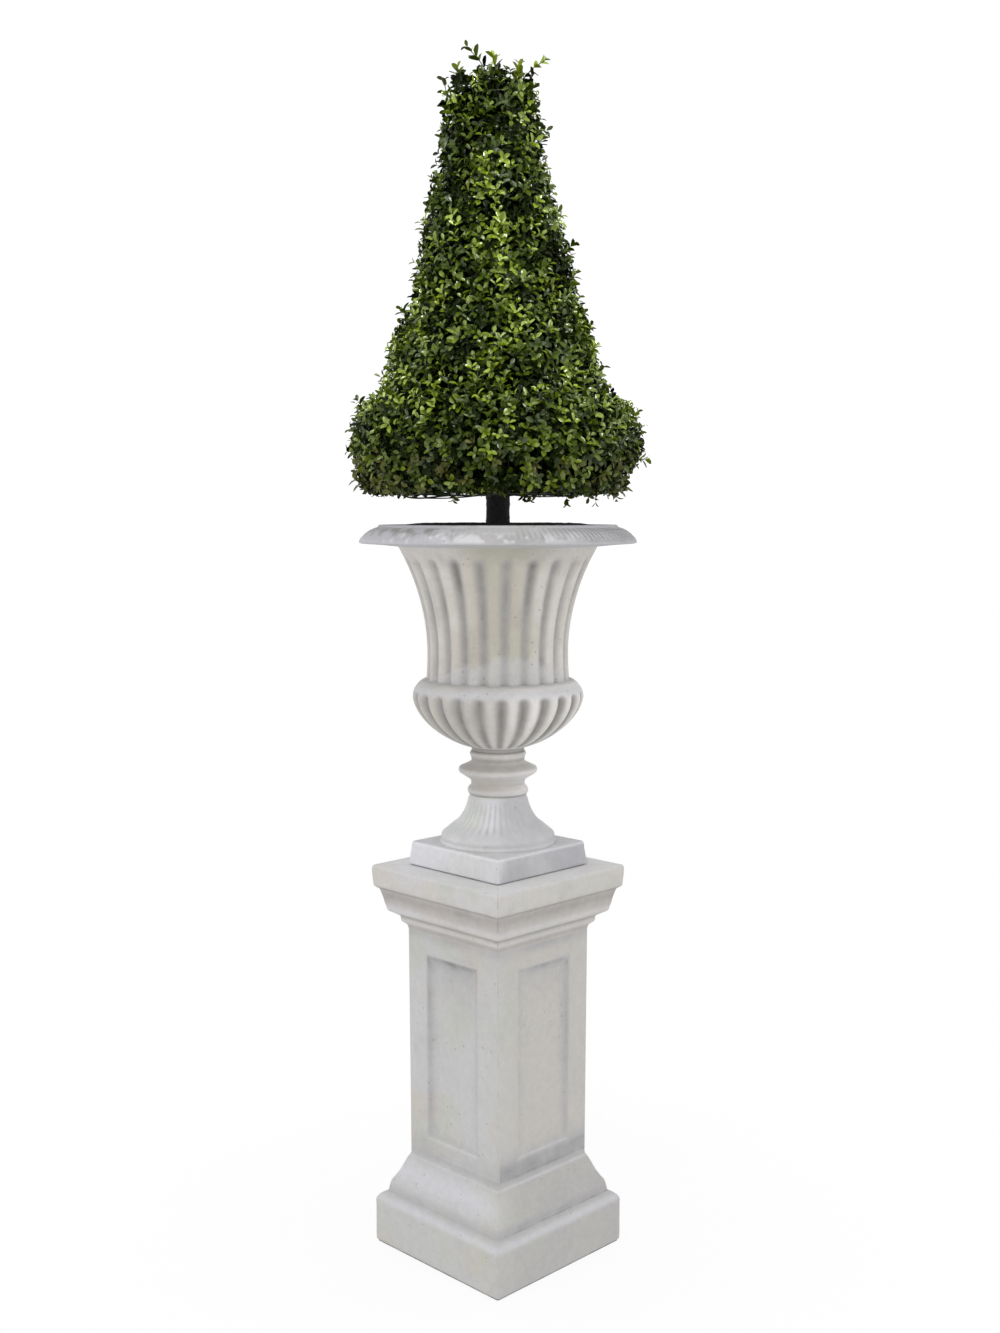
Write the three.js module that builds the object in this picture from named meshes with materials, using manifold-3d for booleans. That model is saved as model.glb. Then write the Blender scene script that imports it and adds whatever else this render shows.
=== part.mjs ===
// An artificial boxwood cone topiary: a clipped cone of foliage on a pole, standing in a
// fluted campana urn on a square pedestal with sunk panels.
// Millimetres, +Z up. The origin is the centre of the pedestal's flat underside, and the
// pedestal's faces look along X and Y. The urn, the pole and the crown share its axis.
import * as THREE from "three";
import { mergeVertices } from "three/addons/utils/BufferGeometryUtils.js";
import Module from "manifold-3d";

const wasm = await Module();
wasm.setup();

// ---------------------------------------------------------------- driving dimensions

const FIT_GAP = 0.3; // clearance to a neighbour that a piece is cut round
const OVERRUN = 60; // how far a cutting solid runs past what it cuts

// Levels of the flat joints, from the ground up.
const LEVEL = {
  ground: 0,
  pedestalShaft: 222,
  pedestalCap: 722,
  plinth: 867,
  foot: 921,
  stem: 1027,
  bowl: 1134,
  body: 1281,
  rim: 1570,
  rimTop: 1616,
  fillTop: 1619,
  crownUnder: 1690,
};

// Outlines run up the outside of a piece as [radius, height], or [half-width, height] on a
// square one. A third number makes the stretch that leads to a point an arc with that rise,
// positive where it bulges outwards.
const PEDESTAL_BASE = [
  [192.5, LEVEL.ground], // plain block with worn edges
  [194.7, 9],
  [194.7, 95],
  [191, 106, 1.5],
  [174.5, 120], // splayed fillet
  [170.5, 141], // riser
  [146.5, 190, -1.5], // long hollow slope
  [138.7, 207],
  [138, LEVEL.pedestalShaft],
];
const PEDESTAL_SHAFT = [
  [138, LEVEL.pedestalShaft],
  [140.1, LEVEL.pedestalCap],
];
const PEDESTAL_CAP = [
  [140.4, LEVEL.pedestalCap],
  [142, 731],
  [150.5, 739], // lower fillet
  [152.4, 750.5],
  [172, 763.5], // upper fillet
  [174.5, 770],
  [178.5, 786],
  [184.3, 809], // cove
  [192.5, 819],
  [195.3, 826], // plain band, wider at the top
  [197.3, 858],
  [194.5, LEVEL.plinth],
];
// The sunk panel on each face of the shaft, with a border that slopes in to its flat.
const PANEL = { width: 160, height: 415, centre: 467.5, depth: 8, slope: 15 };

const URN_PLINTH = [
  [140.5, LEVEL.plinth],
  [137.5, 915],
  [133.5, LEVEL.foot],
];
const URN_FOOT = [
  [133, LEVEL.foot], // low lip
  [126.5, 931],
  [125, 941.5], // edge of the flare
  [98, 962.5],
  [83.5, 976],
  [65.4, 1018, -2.5], // hollow sweep up to the stem
  [61.5, LEVEL.stem],
];
const URN_STEM = [
  [62.5, LEVEL.stem],
  [66.9, 1036.7], // lower ring
  [60.3, 1046.5],
  [58.6, 1053.6],
  [61.5, 1061.2],
  [84, 1076], // knop
  [86.6, 1081.5],
  [84, 1087.5],
  [60, 1099.5],
  [58, 1105],
  [62.2, 1118], // upper ring
  [57.7, 1124.5],
  [57.7, LEVEL.bowl],
];
const URN = {
  bowl: 187.3, // greatest radius of the gadrooned bowl
  bowlWidestAt: 1246,
  bowlDrop: 121.5, // how far below its widest the bowl's curve would close on the axis
  bowlPower: 1.65, // exponent of that curve, which would be 2 on an ellipse
  bowlSteps: 5,
  shoulder: [165, 1279, 5], // from the bowl's widest to its upper edge
  seat: 158.5, // the bowl's flat top, on which the body stands
  bodyFoot: 156.4,
  waist: 153.9, // least radius of the fluted body
  waistAt: 1340,
  bodyTop: 216,
  flare: 2, // exponent of the body's flare above the waist
  bodySteps: 5,
  wall: 15,
  mouth: 207,
};
const URN_RIM = [
  [URN.mouth, LEVEL.rim],
  [223, LEVEL.rim], // underside
  [295, 1576],
  [300, 1578], // lip
  [258, 1613, 8],
  [254, LEVEL.rimTop],
  [210, LEVEL.rimTop],
  [URN.mouth, 1612],
  [URN.mouth, LEVEL.rim],
];

// Grooves round the urn: the flutes of the body and, between the bowl's gadroons, as many
// valleys. Each has the same number of columns of facets, and one of them is its groove.
const FLUTES = { count: 22, firstDegrees: 9.5, depth: 8, top: 1546 };
const GADROONS = { count: 24, firstDegrees: 2.5, depth: 12, top: 1257 };
const COLUMNS_EACH = 3;
const RIM_COLUMNS = 40;
const ROUND_COLUMNS = 30;

// The dark medium that fills the urn: level round the pole, and lower at the rim.
const FILL = { mound: 5, flat: 60, columns: 30 };

const TRUNK = { foot: 26, tip: 19, top: 2450, sides: 16 };

// The wheel of wire that closes the cage under the crown, on a collar round the pole.
const CAGE = {
  radius: 205,
  wire: 2.4, // radius of the wire
  level: 1681,
  spokes: 6,
  collar: 4.5, // the collar's thickness
  tiltDegrees: 1.2, // the wheel hangs lower towards the lean of the crown
  wireSides: 5,
  columns: 32,
};

// Outline of the clipped crown as [radius, height] from its underside to its top.
const CROWN_OUTLINE = [
  [282, 1700],
  [311, 1735],
  [323, 1775],
  [305, 1840],
  [290, 1882],
  [252, 1918],
  [234, 1984],
  [196, 2100],
  [160, 2235],
  [125, 2370],
  [110, 2470],
  [100, 2520],
  [78, 2564],
];
const CROWN = {
  under: 262, // radius of the flat underside
  top: 2592,
  lean: 13, // how far the top leans off the axis
  leanTowards: 225, // plan direction of the lean, in degrees
  rows: 20,
  columns: 26,
  bump: 9, // greatest unevenness of the clipped surface
  wave: 16, // rise and fall of the joints between masses
};
// The joints between the masses of foliage, from the underside up.
const MASS_JOINTS = {
  skirt: 1888,
  lower: 2072,
  middle: 2262,
  upper: 2428,
};

// Stray sprigs above the crown: where each leaves the crown and where its tip is, as a
// sideways distance along the plan direction `towards`, and a height.
const SPRIGS = {
  tall: { towards: 225, foot: [8, 2520], bend: [45, 2585], tip: [66, 2626], girth: 13 },
  short: { towards: 45, foot: [40, 2500], bend: [72, 2560], tip: [104, 2594], girth: 12 },
};

// ---------------------------------------------------------------- helpers

const radians = THREE.MathUtils.degToRad;
const SHORT_ARC = 20; // an arc over a shorter chord has two facets, and a longer one three

// A circular arc from p to q, without p. Its rise is positive where it bulges to the right
// of its direction, which is outwards when it runs upwards.
function arc(p, q, sagitta) {
  const along = new THREE.Vector2(q[0] - p[0], q[1] - p[1]);
  const chord = along.length();
  along.normalize();
  const side = new THREE.Vector2(along.y, -along.x);
  const radius = (chord * chord) / (8 * sagitta) + sagitta / 2;
  const half = Math.asin(chord / 2 / radius);
  const steps = chord < SHORT_ARC ? 2 : 3;
  return Array.from({ length: steps }, (_, index) => {
    const turn = half * ((2 * (index + 1)) / steps - 1);
    const forward = chord / 2 + radius * Math.sin(turn);
    const outward = sagitta - radius + radius * Math.cos(turn);
    return [
      p[0] + along.x * forward + side.x * outward,
      p[1] + along.y * forward + side.y * outward,
    ];
  });
}

// An outline with its arcs drawn out.
function drawn(outline) {
  return outline.flatMap(([radius, height, rise], index) =>
    rise ? arc(outline[index - 1], [radius, height], rise) : [[radius, height]],
  );
}

// An outline carried in to the axis at both ends, so that it turns into a closed solid.
function capped(profile) {
  return [[0, profile[0][1]], ...profile, [0, profile.at(-1)[1]]];
}

// A solid of revolution about Z. `shape` may move each vertex, given its cylindrical
// coordinates, and returns its new radius and height.
function turned(profile, columns, shape, firstAngle = 0) {
  const points = profile.map(([radius, height]) => new THREE.Vector2(radius, height));
  const geometry = new THREE.LatheGeometry(points, columns, firstAngle);
  geometry.rotateX(Math.PI / 2);
  if (!shape) return geometry;
  const position = geometry.getAttribute("position");
  for (let index = 0; index < position.count; index += 1) {
    const x = position.getX(index);
    const y = position.getY(index);
    const angle = Math.atan2(y, x);
    const [radius, height] = shape(Math.hypot(x, y), position.getZ(index), angle);
    position.setXYZ(index, radius * Math.cos(angle), radius * Math.sin(angle), height);
  }
  return geometry;
}

// A square solid whose half-width follows the outline, its faces along X and Y.
function squareTurned(outline) {
  const corners = drawn(outline).map(([half, height]) => [half * Math.SQRT2, height]);
  return turned(capped(corners), 4, null, Math.PI / 4);
}

function solidOf(geometry) {
  const loose = geometry.index ? geometry.toNonIndexed() : geometry;
  const bare = new THREE.BufferGeometry();
  bare.setAttribute("position", loose.getAttribute("position"));
  const merged = mergeVertices(bare, 1e-3);
  return new wasm.Manifold(
    new wasm.Mesh({
      numProp: 3,
      vertProperties: merged.getAttribute("position").array,
      triVerts: new Uint32Array(merged.index.array),
    }),
  );
}

function geometryOf(solid) {
  const mesh = solid.getMesh();
  const geometry = new THREE.BufferGeometry();
  geometry.setAttribute("position", new THREE.BufferAttribute(mesh.vertProperties, 3));
  geometry.setIndex(new THREE.BufferAttribute(mesh.triVerts, 1));
  const facets = geometry.toNonIndexed();
  facets.computeVertexNormals();
  return facets;
}

// ---------------------------------------------------------------- pedestal

// One sunk panel's cutter, facing -Y.
function panelCutter() {
  const reach = 4;
  const spread = (PANEL.slope / PANEL.depth) * reach;
  const width = PANEL.width + 2 * spread;
  const height = PANEL.height + 2 * spread;
  const cutter = new THREE.BoxGeometry(width, PANEL.depth + reach, height);
  const position = cutter.getAttribute("position");
  const narrow = (PANEL.width - 2 * PANEL.slope) / width;
  const low = (PANEL.height - 2 * PANEL.slope) / height;
  for (let index = 0; index < position.count; index += 1) {
    if (position.getY(index) < 0) continue;
    position.setX(index, position.getX(index) * narrow);
    position.setZ(index, position.getZ(index) * low);
  }
  const face = (PEDESTAL_SHAFT[0][0] + PEDESTAL_SHAFT[1][0]) / 2;
  cutter.translate(0, (PANEL.depth - reach) / 2 - face, PANEL.centre);
  return cutter;
}

function pedestalShaft() {
  let shaft = solidOf(squareTurned(PEDESTAL_SHAFT));
  for (let face = 0; face < 4; face += 1) {
    const cutter = panelCutter().rotateZ((face * Math.PI) / 2);
    shaft = shaft.subtract(solidOf(cutter));
  }
  return geometryOf(shaft);
}

// ---------------------------------------------------------------- urn

// A fold of the surface in step with a ring of grooves: 0 on a ridge, 1 in a groove.
function grooveAt(ring, angle) {
  const turns = ((angle - radians(ring.firstDegrees)) * ring.count) / (2 * Math.PI);
  const offset = Math.abs(turns - Math.round(turns));
  return offset < 0.5 / COLUMNS_EACH ? 1 : 0;
}

// A turned solid whose columns are in step with a ring of grooves. LatheGeometry measures
// its first angle from -Y here, so the ring's own, measured from +X, is turned by a quarter.
function grooved(profile, ring, shape) {
  return turned(profile, ring.count * COLUMNS_EACH, shape, radians(ring.firstDegrees + 90));
}

function bowl() {
  const { bowlDrop, bowlPower, bowlWidestAt, bowlSteps } = URN;
  const underside = Array.from({ length: bowlSteps + 1 }, (_, index) => {
    const turn = (Math.PI / 2) * (1 - index / bowlSteps);
    const down = (bowlWidestAt - LEVEL.bowl) * Math.sin(turn);
    const radius = URN.bowl * Math.sqrt(1 - (down / bowlDrop) ** bowlPower);
    return [radius, bowlWidestAt - down];
  });
  const outline = drawn([...underside, URN.shoulder, [URN.seat, LEVEL.body]]);
  return grooved(capped(outline), GADROONS, (radius, height, angle) => {
    const onGadroon = height > LEVEL.bowl + FIT_GAP && height < GADROONS.top;
    const swell = Math.sin((Math.PI * (height - LEVEL.bowl)) / (LEVEL.body - LEVEL.bowl));
    const cut = onGadroon ? GADROONS.depth * swell * grooveAt(GADROONS, angle) : 0;
    return [radius - cut, height];
  });
}

// Outer radius of the fluted body on its ridges.
function bodyRadius(height) {
  if (height <= URN.waistAt) {
    const down = (URN.waistAt - height) / (URN.waistAt - LEVEL.body);
    return URN.waist + (URN.bodyFoot - URN.waist) * down * down;
  }
  const up = (height - URN.waistAt) / (LEVEL.rim - URN.waistAt);
  return URN.waist + (URN.bodyTop - URN.waist) * up ** URN.flare;
}

// Heights of the body's rows of facets. The inside of its wall, which the fill follows,
// has only some of them.
const BODY_HEIGHTS = Array.from({ length: URN.bodySteps + 1 }, (_, index) =>
  THREE.MathUtils.lerp(LEVEL.body, LEVEL.rim, index / URN.bodySteps),
);
const INSIDE_HEIGHTS = BODY_HEIGHTS.filter((_, index) => index % 2 === 1 || index === 0);

function body() {
  const outside = BODY_HEIGHTS.map((height) => [bodyRadius(height), height]);
  const inside = INSIDE_HEIGHTS.map((height) => [bodyRadius(height) - URN.wall, height]);
  const wall = [...outside, ...inside.reverse(), outside[0]];
  return grooved(wall, FLUTES, (radius, height, angle) => {
    const fluted = radius > bodyRadius(height) - URN.wall / 2 && height < FLUTES.top;
    return [radius - (fluted ? FLUTES.depth * grooveAt(FLUTES, angle) : 0), height];
  });
}

// The fill's sides keep clear of the inside of the body and the rim, whose facets are
// chords and so lie nearer the axis than their corners.
function fill() {
  const chord = Math.cos(Math.PI / RIM_COLUMNS);
  const side = INSIDE_HEIGHTS.map((height) => [
    (bodyRadius(height) - URN.wall) * chord - FIT_GAP,
    height,
  ]);
  const edge = URN.mouth * chord - 2 * FIT_GAP;
  const outline = [
    ...side,
    [edge, LEVEL.rim + FIT_GAP],
    [edge, LEVEL.fillTop - FILL.mound],
    [(edge + FILL.flat) / 2, LEVEL.fillTop - FILL.mound / 4],
    [FILL.flat, LEVEL.fillTop],
  ];
  return turned(capped(outline), FILL.columns);
}

// ---------------------------------------------------------------- pole and cage

function trunkRadius(height) {
  const up = (height - LEVEL.fillTop) / (TRUNK.top - LEVEL.fillTop);
  return THREE.MathUtils.lerp(TRUNK.foot, TRUNK.tip, up);
}

// The pole, or with `grown` the bore that clears it.
function trunk(grown = 0) {
  const bottom = LEVEL.fillTop - (grown ? OVERRUN : 0);
  const outline = [
    [trunkRadius(bottom) + grown, bottom],
    [trunkRadius(LEVEL.crownUnder) + grown, LEVEL.crownUnder],
    [TRUNK.tip + grown, TRUNK.top + grown],
  ];
  return turned(capped(outline), TRUNK.sides);
}

function cageWheel() {
  const { radius, wire, wireSides, columns, spokes } = CAGE;
  const hoop = new THREE.TorusGeometry(radius, wire, wireSides, columns);
  const collarRadius = trunkRadius(CAGE.level) + CAGE.collar;
  const collarOutline = [
    [collarRadius, -2 * wire],
    [collarRadius, 2 * wire],
  ];
  const collar = turned(capped(collarOutline), TRUNK.sides);
  let wheel = solidOf(hoop).add(solidOf(collar));
  for (let index = 0; index < spokes; index += 1) {
    const spoke = new THREE.CylinderGeometry(wire, wire, radius, wireSides);
    spoke.translate(0, radius / 2, 0);
    spoke.rotateZ((index * 2 * Math.PI) / spokes);
    wheel = wheel.add(solidOf(spoke));
  }
  const placed = geometryOf(wheel);
  placed.rotateX(radians(CAGE.tiltDegrees) * Math.SQRT1_2);
  placed.rotateY(-radians(CAGE.tiltDegrees) * Math.SQRT1_2);
  placed.translate(0, 0, CAGE.level);
  return geometryOf(solidOf(placed).subtract(solidOf(trunk(FIT_GAP))));
}

// ---------------------------------------------------------------- crown of foliage

// How far the clipped surface stands out at a place, as slow waves round and up the cone.
function unevenness(angle, height) {
  return (
    0.5 * Math.sin(3 * angle + height / 70) +
    0.3 * Math.sin(5 * angle - height / 45 + 1.3) +
    0.2 * Math.sin(8 * angle + height / 28 + 4)
  );
}

// The whole crown as one solid, or with `grown` the cutter that clears it.
function crown(grown = 0) {
  const outline = new THREE.SplineCurve(
    CROWN_OUTLINE.map(([radius, height]) => new THREE.Vector2(radius, height)),
  );
  const side = outline
    .getSpacedPoints(CROWN.rows)
    .map((point) => [point.x + grown, point.y]);
  const geometry = turned(
    [
      [0, LEVEL.crownUnder],
      [CROWN.under + grown, LEVEL.crownUnder],
      ...side,
      [0, CROWN.top + grown],
    ],
    CROWN.columns,
    (radius, height, angle) => [
      radius + (radius > 1 ? CROWN.bump * unevenness(angle, height) : 0),
      height,
    ],
  );
  const position = geometry.getAttribute("position");
  const towards = radians(CROWN.leanTowards);
  for (let index = 0; index < position.count; index += 1) {
    const up = (position.getZ(index) - LEVEL.crownUnder) / (CROWN.top - LEVEL.crownUnder);
    const lean = CROWN.lean * up;
    position.setX(index, position.getX(index) + lean * Math.cos(towards));
    position.setY(index, position.getY(index) + lean * Math.sin(towards));
  }
  return geometry;
}

// A slab of space between two joints. Both joints are the same wavy fans, so masses that
// share one lie a constant gap apart.
function slab(bottom, top) {
  const reach = Math.max(...CROWN_OUTLINE.map(([radius]) => radius)) + OVERRUN;
  const outline = [
    [reach, bottom],
    [reach, top],
  ];
  return turned(
    capped(outline),
    CROWN.columns,
    (radius, height, angle) => [
      radius,
      height + (radius > 1 ? CROWN.wave * unevenness(angle, 0) : 0),
    ],
  );
}

function crownMasses() {
  const whole = solidOf(crown()).subtract(solidOf(trunk(FIT_GAP)));
  const joints = [
    LEVEL.crownUnder - OVERRUN,
    ...Object.values(MASS_JOINTS),
    CROWN.top + OVERRUN,
  ];
  const names = [...Object.keys(MASS_JOINTS), "top"];
  return names.map((name, index) => {
    const between = slab(joints[index] + FIT_GAP / 2, joints[index + 1] - FIT_GAP / 2);
    return [`foliage_${name}`, geometryOf(whole.intersect(solidOf(between)))];
  });
}

// A spray that strays above the clipped outline: a slim spindle along a bent stalk.
function sprig({ towards, foot: from, bend, tip, girth }) {
  const plan = radians(towards);
  const [start, middle, end] = [from, bend, tip].map(
    ([sideways, height]) =>
      new THREE.Vector3(sideways * Math.cos(plan), sideways * Math.sin(plan), height),
  );
  const stalk = new THREE.QuadraticBezierCurve3(start, middle, end);
  const length = start.distanceTo(end);
  const outline = [
    [girth / 2, 0],
    [girth, length / 2, girth / 4],
    [girth / 3, length, girth / 4],
  ];
  const spindle = turned(capped(drawn(outline)), 8);
  const position = spindle.getAttribute("position");
  const upwards = new THREE.Vector3(0, 0, 1);
  for (let index = 0; index < position.count; index += 1) {
    const along = THREE.MathUtils.clamp(position.getZ(index) / length, 0, 1);
    const turn = new THREE.Quaternion().setFromUnitVectors(upwards, stalk.getTangent(along));
    const out = new THREE.Vector3(position.getX(index), position.getY(index), 0);
    out.applyQuaternion(turn).add(stalk.getPoint(along));
    position.setXYZ(index, out.x, out.y, out.z);
  }
  return geometryOf(solidOf(spindle).subtract(solidOf(crown(FIT_GAP))));
}

// ---------------------------------------------------------------- assembly

const FINISH = {
  pedestalStone: { color: 0xc9c8ca, roughness: 0.82, metalness: 0 },
  urnStone: { color: 0xbdb8ae, roughness: 0.8, metalness: 0 },
  fill: { color: 0x14110e, roughness: 0.95, metalness: 0 },
  pole: { color: 0x141414, roughness: 0.85, metalness: 0 },
  wire: { color: 0x16181a, roughness: 0.5, metalness: 0.6 },
  leaf: { color: 0x4f6b22, roughness: 0.45, metalness: 0 },
};

const topiary = new THREE.Group();

function place(name, geometry, finish) {
  const mesh = new THREE.Mesh(geometry, new THREE.MeshStandardMaterial(finish));
  mesh.name = name;
  topiary.add(mesh);
}

place("pedestal_base", squareTurned(PEDESTAL_BASE), FINISH.pedestalStone);
place("pedestal_shaft", pedestalShaft(), FINISH.pedestalStone);
place("pedestal_cap", squareTurned(PEDESTAL_CAP), FINISH.pedestalStone);
place("urn_plinth", squareTurned(URN_PLINTH), FINISH.urnStone);
place("urn_foot", turned(capped(drawn(URN_FOOT)), ROUND_COLUMNS), FINISH.urnStone);
place("urn_stem", turned(capped(drawn(URN_STEM)), ROUND_COLUMNS), FINISH.urnStone);
place("urn_bowl", bowl(), FINISH.urnStone);
place("urn_body", body(), FINISH.urnStone);
place("urn_rim", turned(drawn(URN_RIM), RIM_COLUMNS), FINISH.urnStone);
place("urn_fill", fill(), FINISH.fill);
place("trunk", trunk(), FINISH.pole);
place("cage_wheel", cageWheel(), FINISH.wire);
for (const [name, geometry] of crownMasses()) place(name, geometry, FINISH.leaf);
for (const [name, spray] of Object.entries(SPRIGS)) {
  place(`sprig_${name}`, sprig(spray), FINISH.leaf);
}

export default topiary;
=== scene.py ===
"""Looks of an artificial boxwood cone topiary in a fluted urn on a pedestal.

Every shape is worked out with numpy in millimetres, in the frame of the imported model: +Z runs up the shared
axis of pedestal, urn and pole, and the floor is at height 0. Meshes are scaled to metres when they are made.
Plan angles run from +X towards +Y. FRONT and LEFT are such angles in degrees, of the pedestal's front corner
and of the one to the left of it. RIGHT and REAR are directions as seen by someone who faces the front corner.
"""

import logging
import math
from dataclasses import dataclass, field, replace
from enum import Enum

import bpy
import numpy as np
from mathutils import Euler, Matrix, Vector

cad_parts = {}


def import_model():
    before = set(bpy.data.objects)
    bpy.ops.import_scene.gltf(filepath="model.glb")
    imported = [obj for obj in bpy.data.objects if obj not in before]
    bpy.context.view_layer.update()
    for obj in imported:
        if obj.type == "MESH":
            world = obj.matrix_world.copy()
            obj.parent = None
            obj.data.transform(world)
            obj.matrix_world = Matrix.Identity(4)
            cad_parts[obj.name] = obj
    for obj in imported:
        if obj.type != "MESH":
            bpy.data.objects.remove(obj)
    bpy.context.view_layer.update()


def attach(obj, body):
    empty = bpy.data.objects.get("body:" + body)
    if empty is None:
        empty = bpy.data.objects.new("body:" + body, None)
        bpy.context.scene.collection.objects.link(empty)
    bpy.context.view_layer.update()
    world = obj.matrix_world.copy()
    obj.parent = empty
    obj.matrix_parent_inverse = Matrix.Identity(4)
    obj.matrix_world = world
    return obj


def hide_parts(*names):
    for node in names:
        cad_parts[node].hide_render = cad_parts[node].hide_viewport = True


log = logging.getLogger("topiary")

MM = 0.001
TURN = 2.0 * math.pi
GOLDEN_TURN = math.pi * (3.0 - math.sqrt(5.0))
UP = np.array([0.0, 0.0, 1.0])
FRONT = 315.0
LEFT = 225.0
RIGHT = np.array([math.cos(math.radians(45.0)), math.sin(math.radians(45.0)), 0.0])
REAR = np.array([-RIGHT[1], RIGHT[0], 0.0])
FINE = 0.5
SMOOTH = 180.0
UNSTRETCHED = (1.0, 1.0, 1.0)
WHITE = (1.0, 1.0, 1.0)
BODY = "root"

Array = np.ndarray
Material = bpy.types.Material
Pair = tuple[float, float]
Triple = tuple[float, float, float]
Colour = Triple
Band = Triple
Corner = tuple[float, ...]
Outline = tuple[Corner, ...]


class Slot(Enum):
    """Material slots of the record."""

    PEDESTAL = "cast_stone"
    URN = "urn_stone"
    FILL = "planting_medium"
    POLE = "pole"
    WIRE = "cage_wire"
    LEAF = "boxwood"


class Mark(Enum):
    """Values kept at the points of a mesh for its finish to read, each from 0 to 1."""

    # Painted shade in grooves, creases, gaps and under mouldings.
    HOLLOW = "hollow"
    # Powdery bloom and wear, and painted highlights on edges and lit faces.
    BLOOM = "bloom"
    SEAM = "seam"


class Tint(Enum):
    """Plain colours of the leaves, in the order of their material slots."""

    BRIGHT = 0
    FRESH = 1
    MIDDLE = 2
    GREY = 3
    # Older leaves: a darker green of their own, made darker still as painted shade.
    DARK = 4
    # Near black: painted shade for leaves inside the crown and for a few old leaves on the sprigs.
    DEEP = 5
    OLIVE = 6


Marks = dict[Mark, Array]


# --- numbers and lines


def eased(share: Array) -> Array:
    """Rises smoothly from 0 to 1 as the share does: 3 t squared less 2 t cubed."""
    t = np.clip(share, 0.0, 1.0)
    return t * t * (3.0 - 2.0 * t)


def unit(vectors: Array) -> Array:
    """Vectors along the last axis, each divided by its length."""
    return vectors / np.maximum(np.linalg.norm(vectors, axis=-1, keepdims=True), 1e-9)


def mixed(a: Array, b: Array, share: Array) -> Array:
    """The straight mix a + (b - a) times the share."""
    return a + (b - a) * share


def circle(count: int) -> Array:
    """Angles that share a full turn evenly, from 0."""
    return np.arange(count) * TURN / count


def polar(radius: Array, angles: Array, height: Array) -> Array:
    """Points from radius, plan angle and height, with x, y and z along a new last axis."""
    return np.stack(np.broadcast_arrays(radius * np.cos(angles), radius * np.sin(angles), height), axis=-1)


def turned(line: Array, angles: Array) -> Array:
    """Points of a line of radius and height, turned about the axis to each of the angles."""
    return polar(line[:, :1], angles, line[:, 1:])


def towards(angles: Array, plan: float) -> Array:
    """Half of 1 plus the cosine of the angle from a plan angle in degrees: 1 there and 0 opposite."""
    return 0.5 + 0.5 * np.cos(angles - math.radians(plan))


def aside(angles: Array, plan: float) -> Array:
    """The angle from a plan angle given in degrees, within half a turn to either side."""
    return np.mod(angles - math.radians(plan) + math.pi, TURN) - math.pi


def bell(value: Array, middle: float, reach: float) -> Array:
    """One at the middle, falling off as a bell: e to the minus square of the distance over the reach."""
    return np.exp(-(((value - middle) / reach) ** 2))


def graded(stops: list[float], steps: list[int]) -> Array:
    """Positions that pass through stops in order, with a number of equal steps between each two."""
    spans = zip(stops[:-1], stops[1:], steps, strict=True)
    return np.append(np.concatenate([np.linspace(a, b, n, endpoint=False) for a, b, n in spans]), stops[-1])


def drawn(outline: Outline, step: float = 1.0) -> Array:
    """A line through corners, each given as radius, height and, after an arc, its rise.

    Each stretch is the straight line from p to q plus 4 t (1 - t) times the rise, sideways to the right of
    its direction, so a positive rise bulges outwards on a line that runs up.

    Args:
        outline: The corners in order.
        step: Greatest distance between points.

    Returns:
        Points as rows of radius and height.
    """
    parts = [np.array([outline[0][:2]])]
    for p, q in zip(outline[:-1], outline[1:], strict=True):
        start = np.array(p[:2])
        along = np.array(q[:2]) - start
        length = float(np.hypot(*along))
        t = np.linspace(0.0, 1.0, max(2, math.ceil(length / step)) + 1)[1:, None]
        rise = q[2] if len(q) > 2 else 0.0
        side = np.array([along[1], -along[0]]) / length
        parts.append(start + along * t + side * (4.0 * rise * t * (1.0 - t)))
    return np.concatenate(parts)


def walked(line: Array) -> Array:
    """Distance walked along a line up to each of its points."""
    return np.append(0.0, np.cumsum(np.linalg.norm(np.diff(line, axis=0), axis=1)))


def sampled(line: Array, far: Array, at: Array) -> Array:
    """Points of a line at given places, where far holds the places of its own points."""
    return np.stack([np.interp(at, far, column) for column in line.T], axis=1)


def softened(line: Array, spread: float) -> Array:
    """A line with its corners rounded by a moving bell-shaped average whose ends stay where they are.

    Args:
        line: Points of the line.
        spread: Standard deviation of the bell.

    Returns:
        Points a fine step apart along the rounded line.
    """
    far = walked(line)
    fine = sampled(line, far, np.linspace(0.0, far[-1], math.ceil(far[-1] / FINE) + 1))
    reach = max(1, math.ceil(3.0 * spread / FINE))
    weights = np.exp(-0.5 * (np.arange(-reach, reach + 1) * FINE / spread) ** 2)
    weights /= weights.sum()
    before = 2.0 * fine[0] - fine[reach:0:-1]
    after = 2.0 * fine[-1] - fine[-2 : -reach - 2 : -1]
    padded = np.concatenate([before, fine, after])
    return np.stack([np.convolve(column, weights, "valid") for column in padded.T], axis=1)


def spaced(line: Array, count: int, turning: float = 12.0) -> Array:
    """A line cut into steps that are equal in the sum of length and of turning times the angle turned.

    Args:
        line: Points of the line.
        count: How many points are wanted.
        turning: Length that a bend of one radian counts for.

    Returns:
        The chosen points, with both ends.
    """
    heading = np.unwrap(np.arctan2(*np.diff(line, axis=0).T[::-1]))
    bend = np.append(0.0, np.cumsum(np.abs(np.diff(heading, prepend=heading[:1]))))
    far = walked(line)
    effort = far + turning * bend
    return sampled(line, far, np.interp(np.linspace(0.0, effort[-1], count), effort, far))


def profile(outline: Outline, count: int, soft: float) -> Array:
    """An outline drawn, softened and cut into a number of points, as rows of radius and height."""
    return spaced(softened(drawn(outline), soft), count)


def banded(height: Array, bands: list[Band]) -> Array:
    """The sum, kept from 0 to 1, of bells over height, each given by its middle, reach and strength."""
    return np.clip(sum(strength * bell(height, middle, reach) for middle, reach, strength in bands), 0.0, 1.0)


def belts(line: Array, hollows: list[Band], worn: list[Band]) -> Marks:
    """Marks of painted shade and of pale wear and highlight, in bands all round each row of a line of radius
    and height.
    """
    return {Mark.HOLLOW: banded(line[:, 1:], hollows), Mark.BLOOM: banded(line[:, 1:], worn)}


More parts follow.
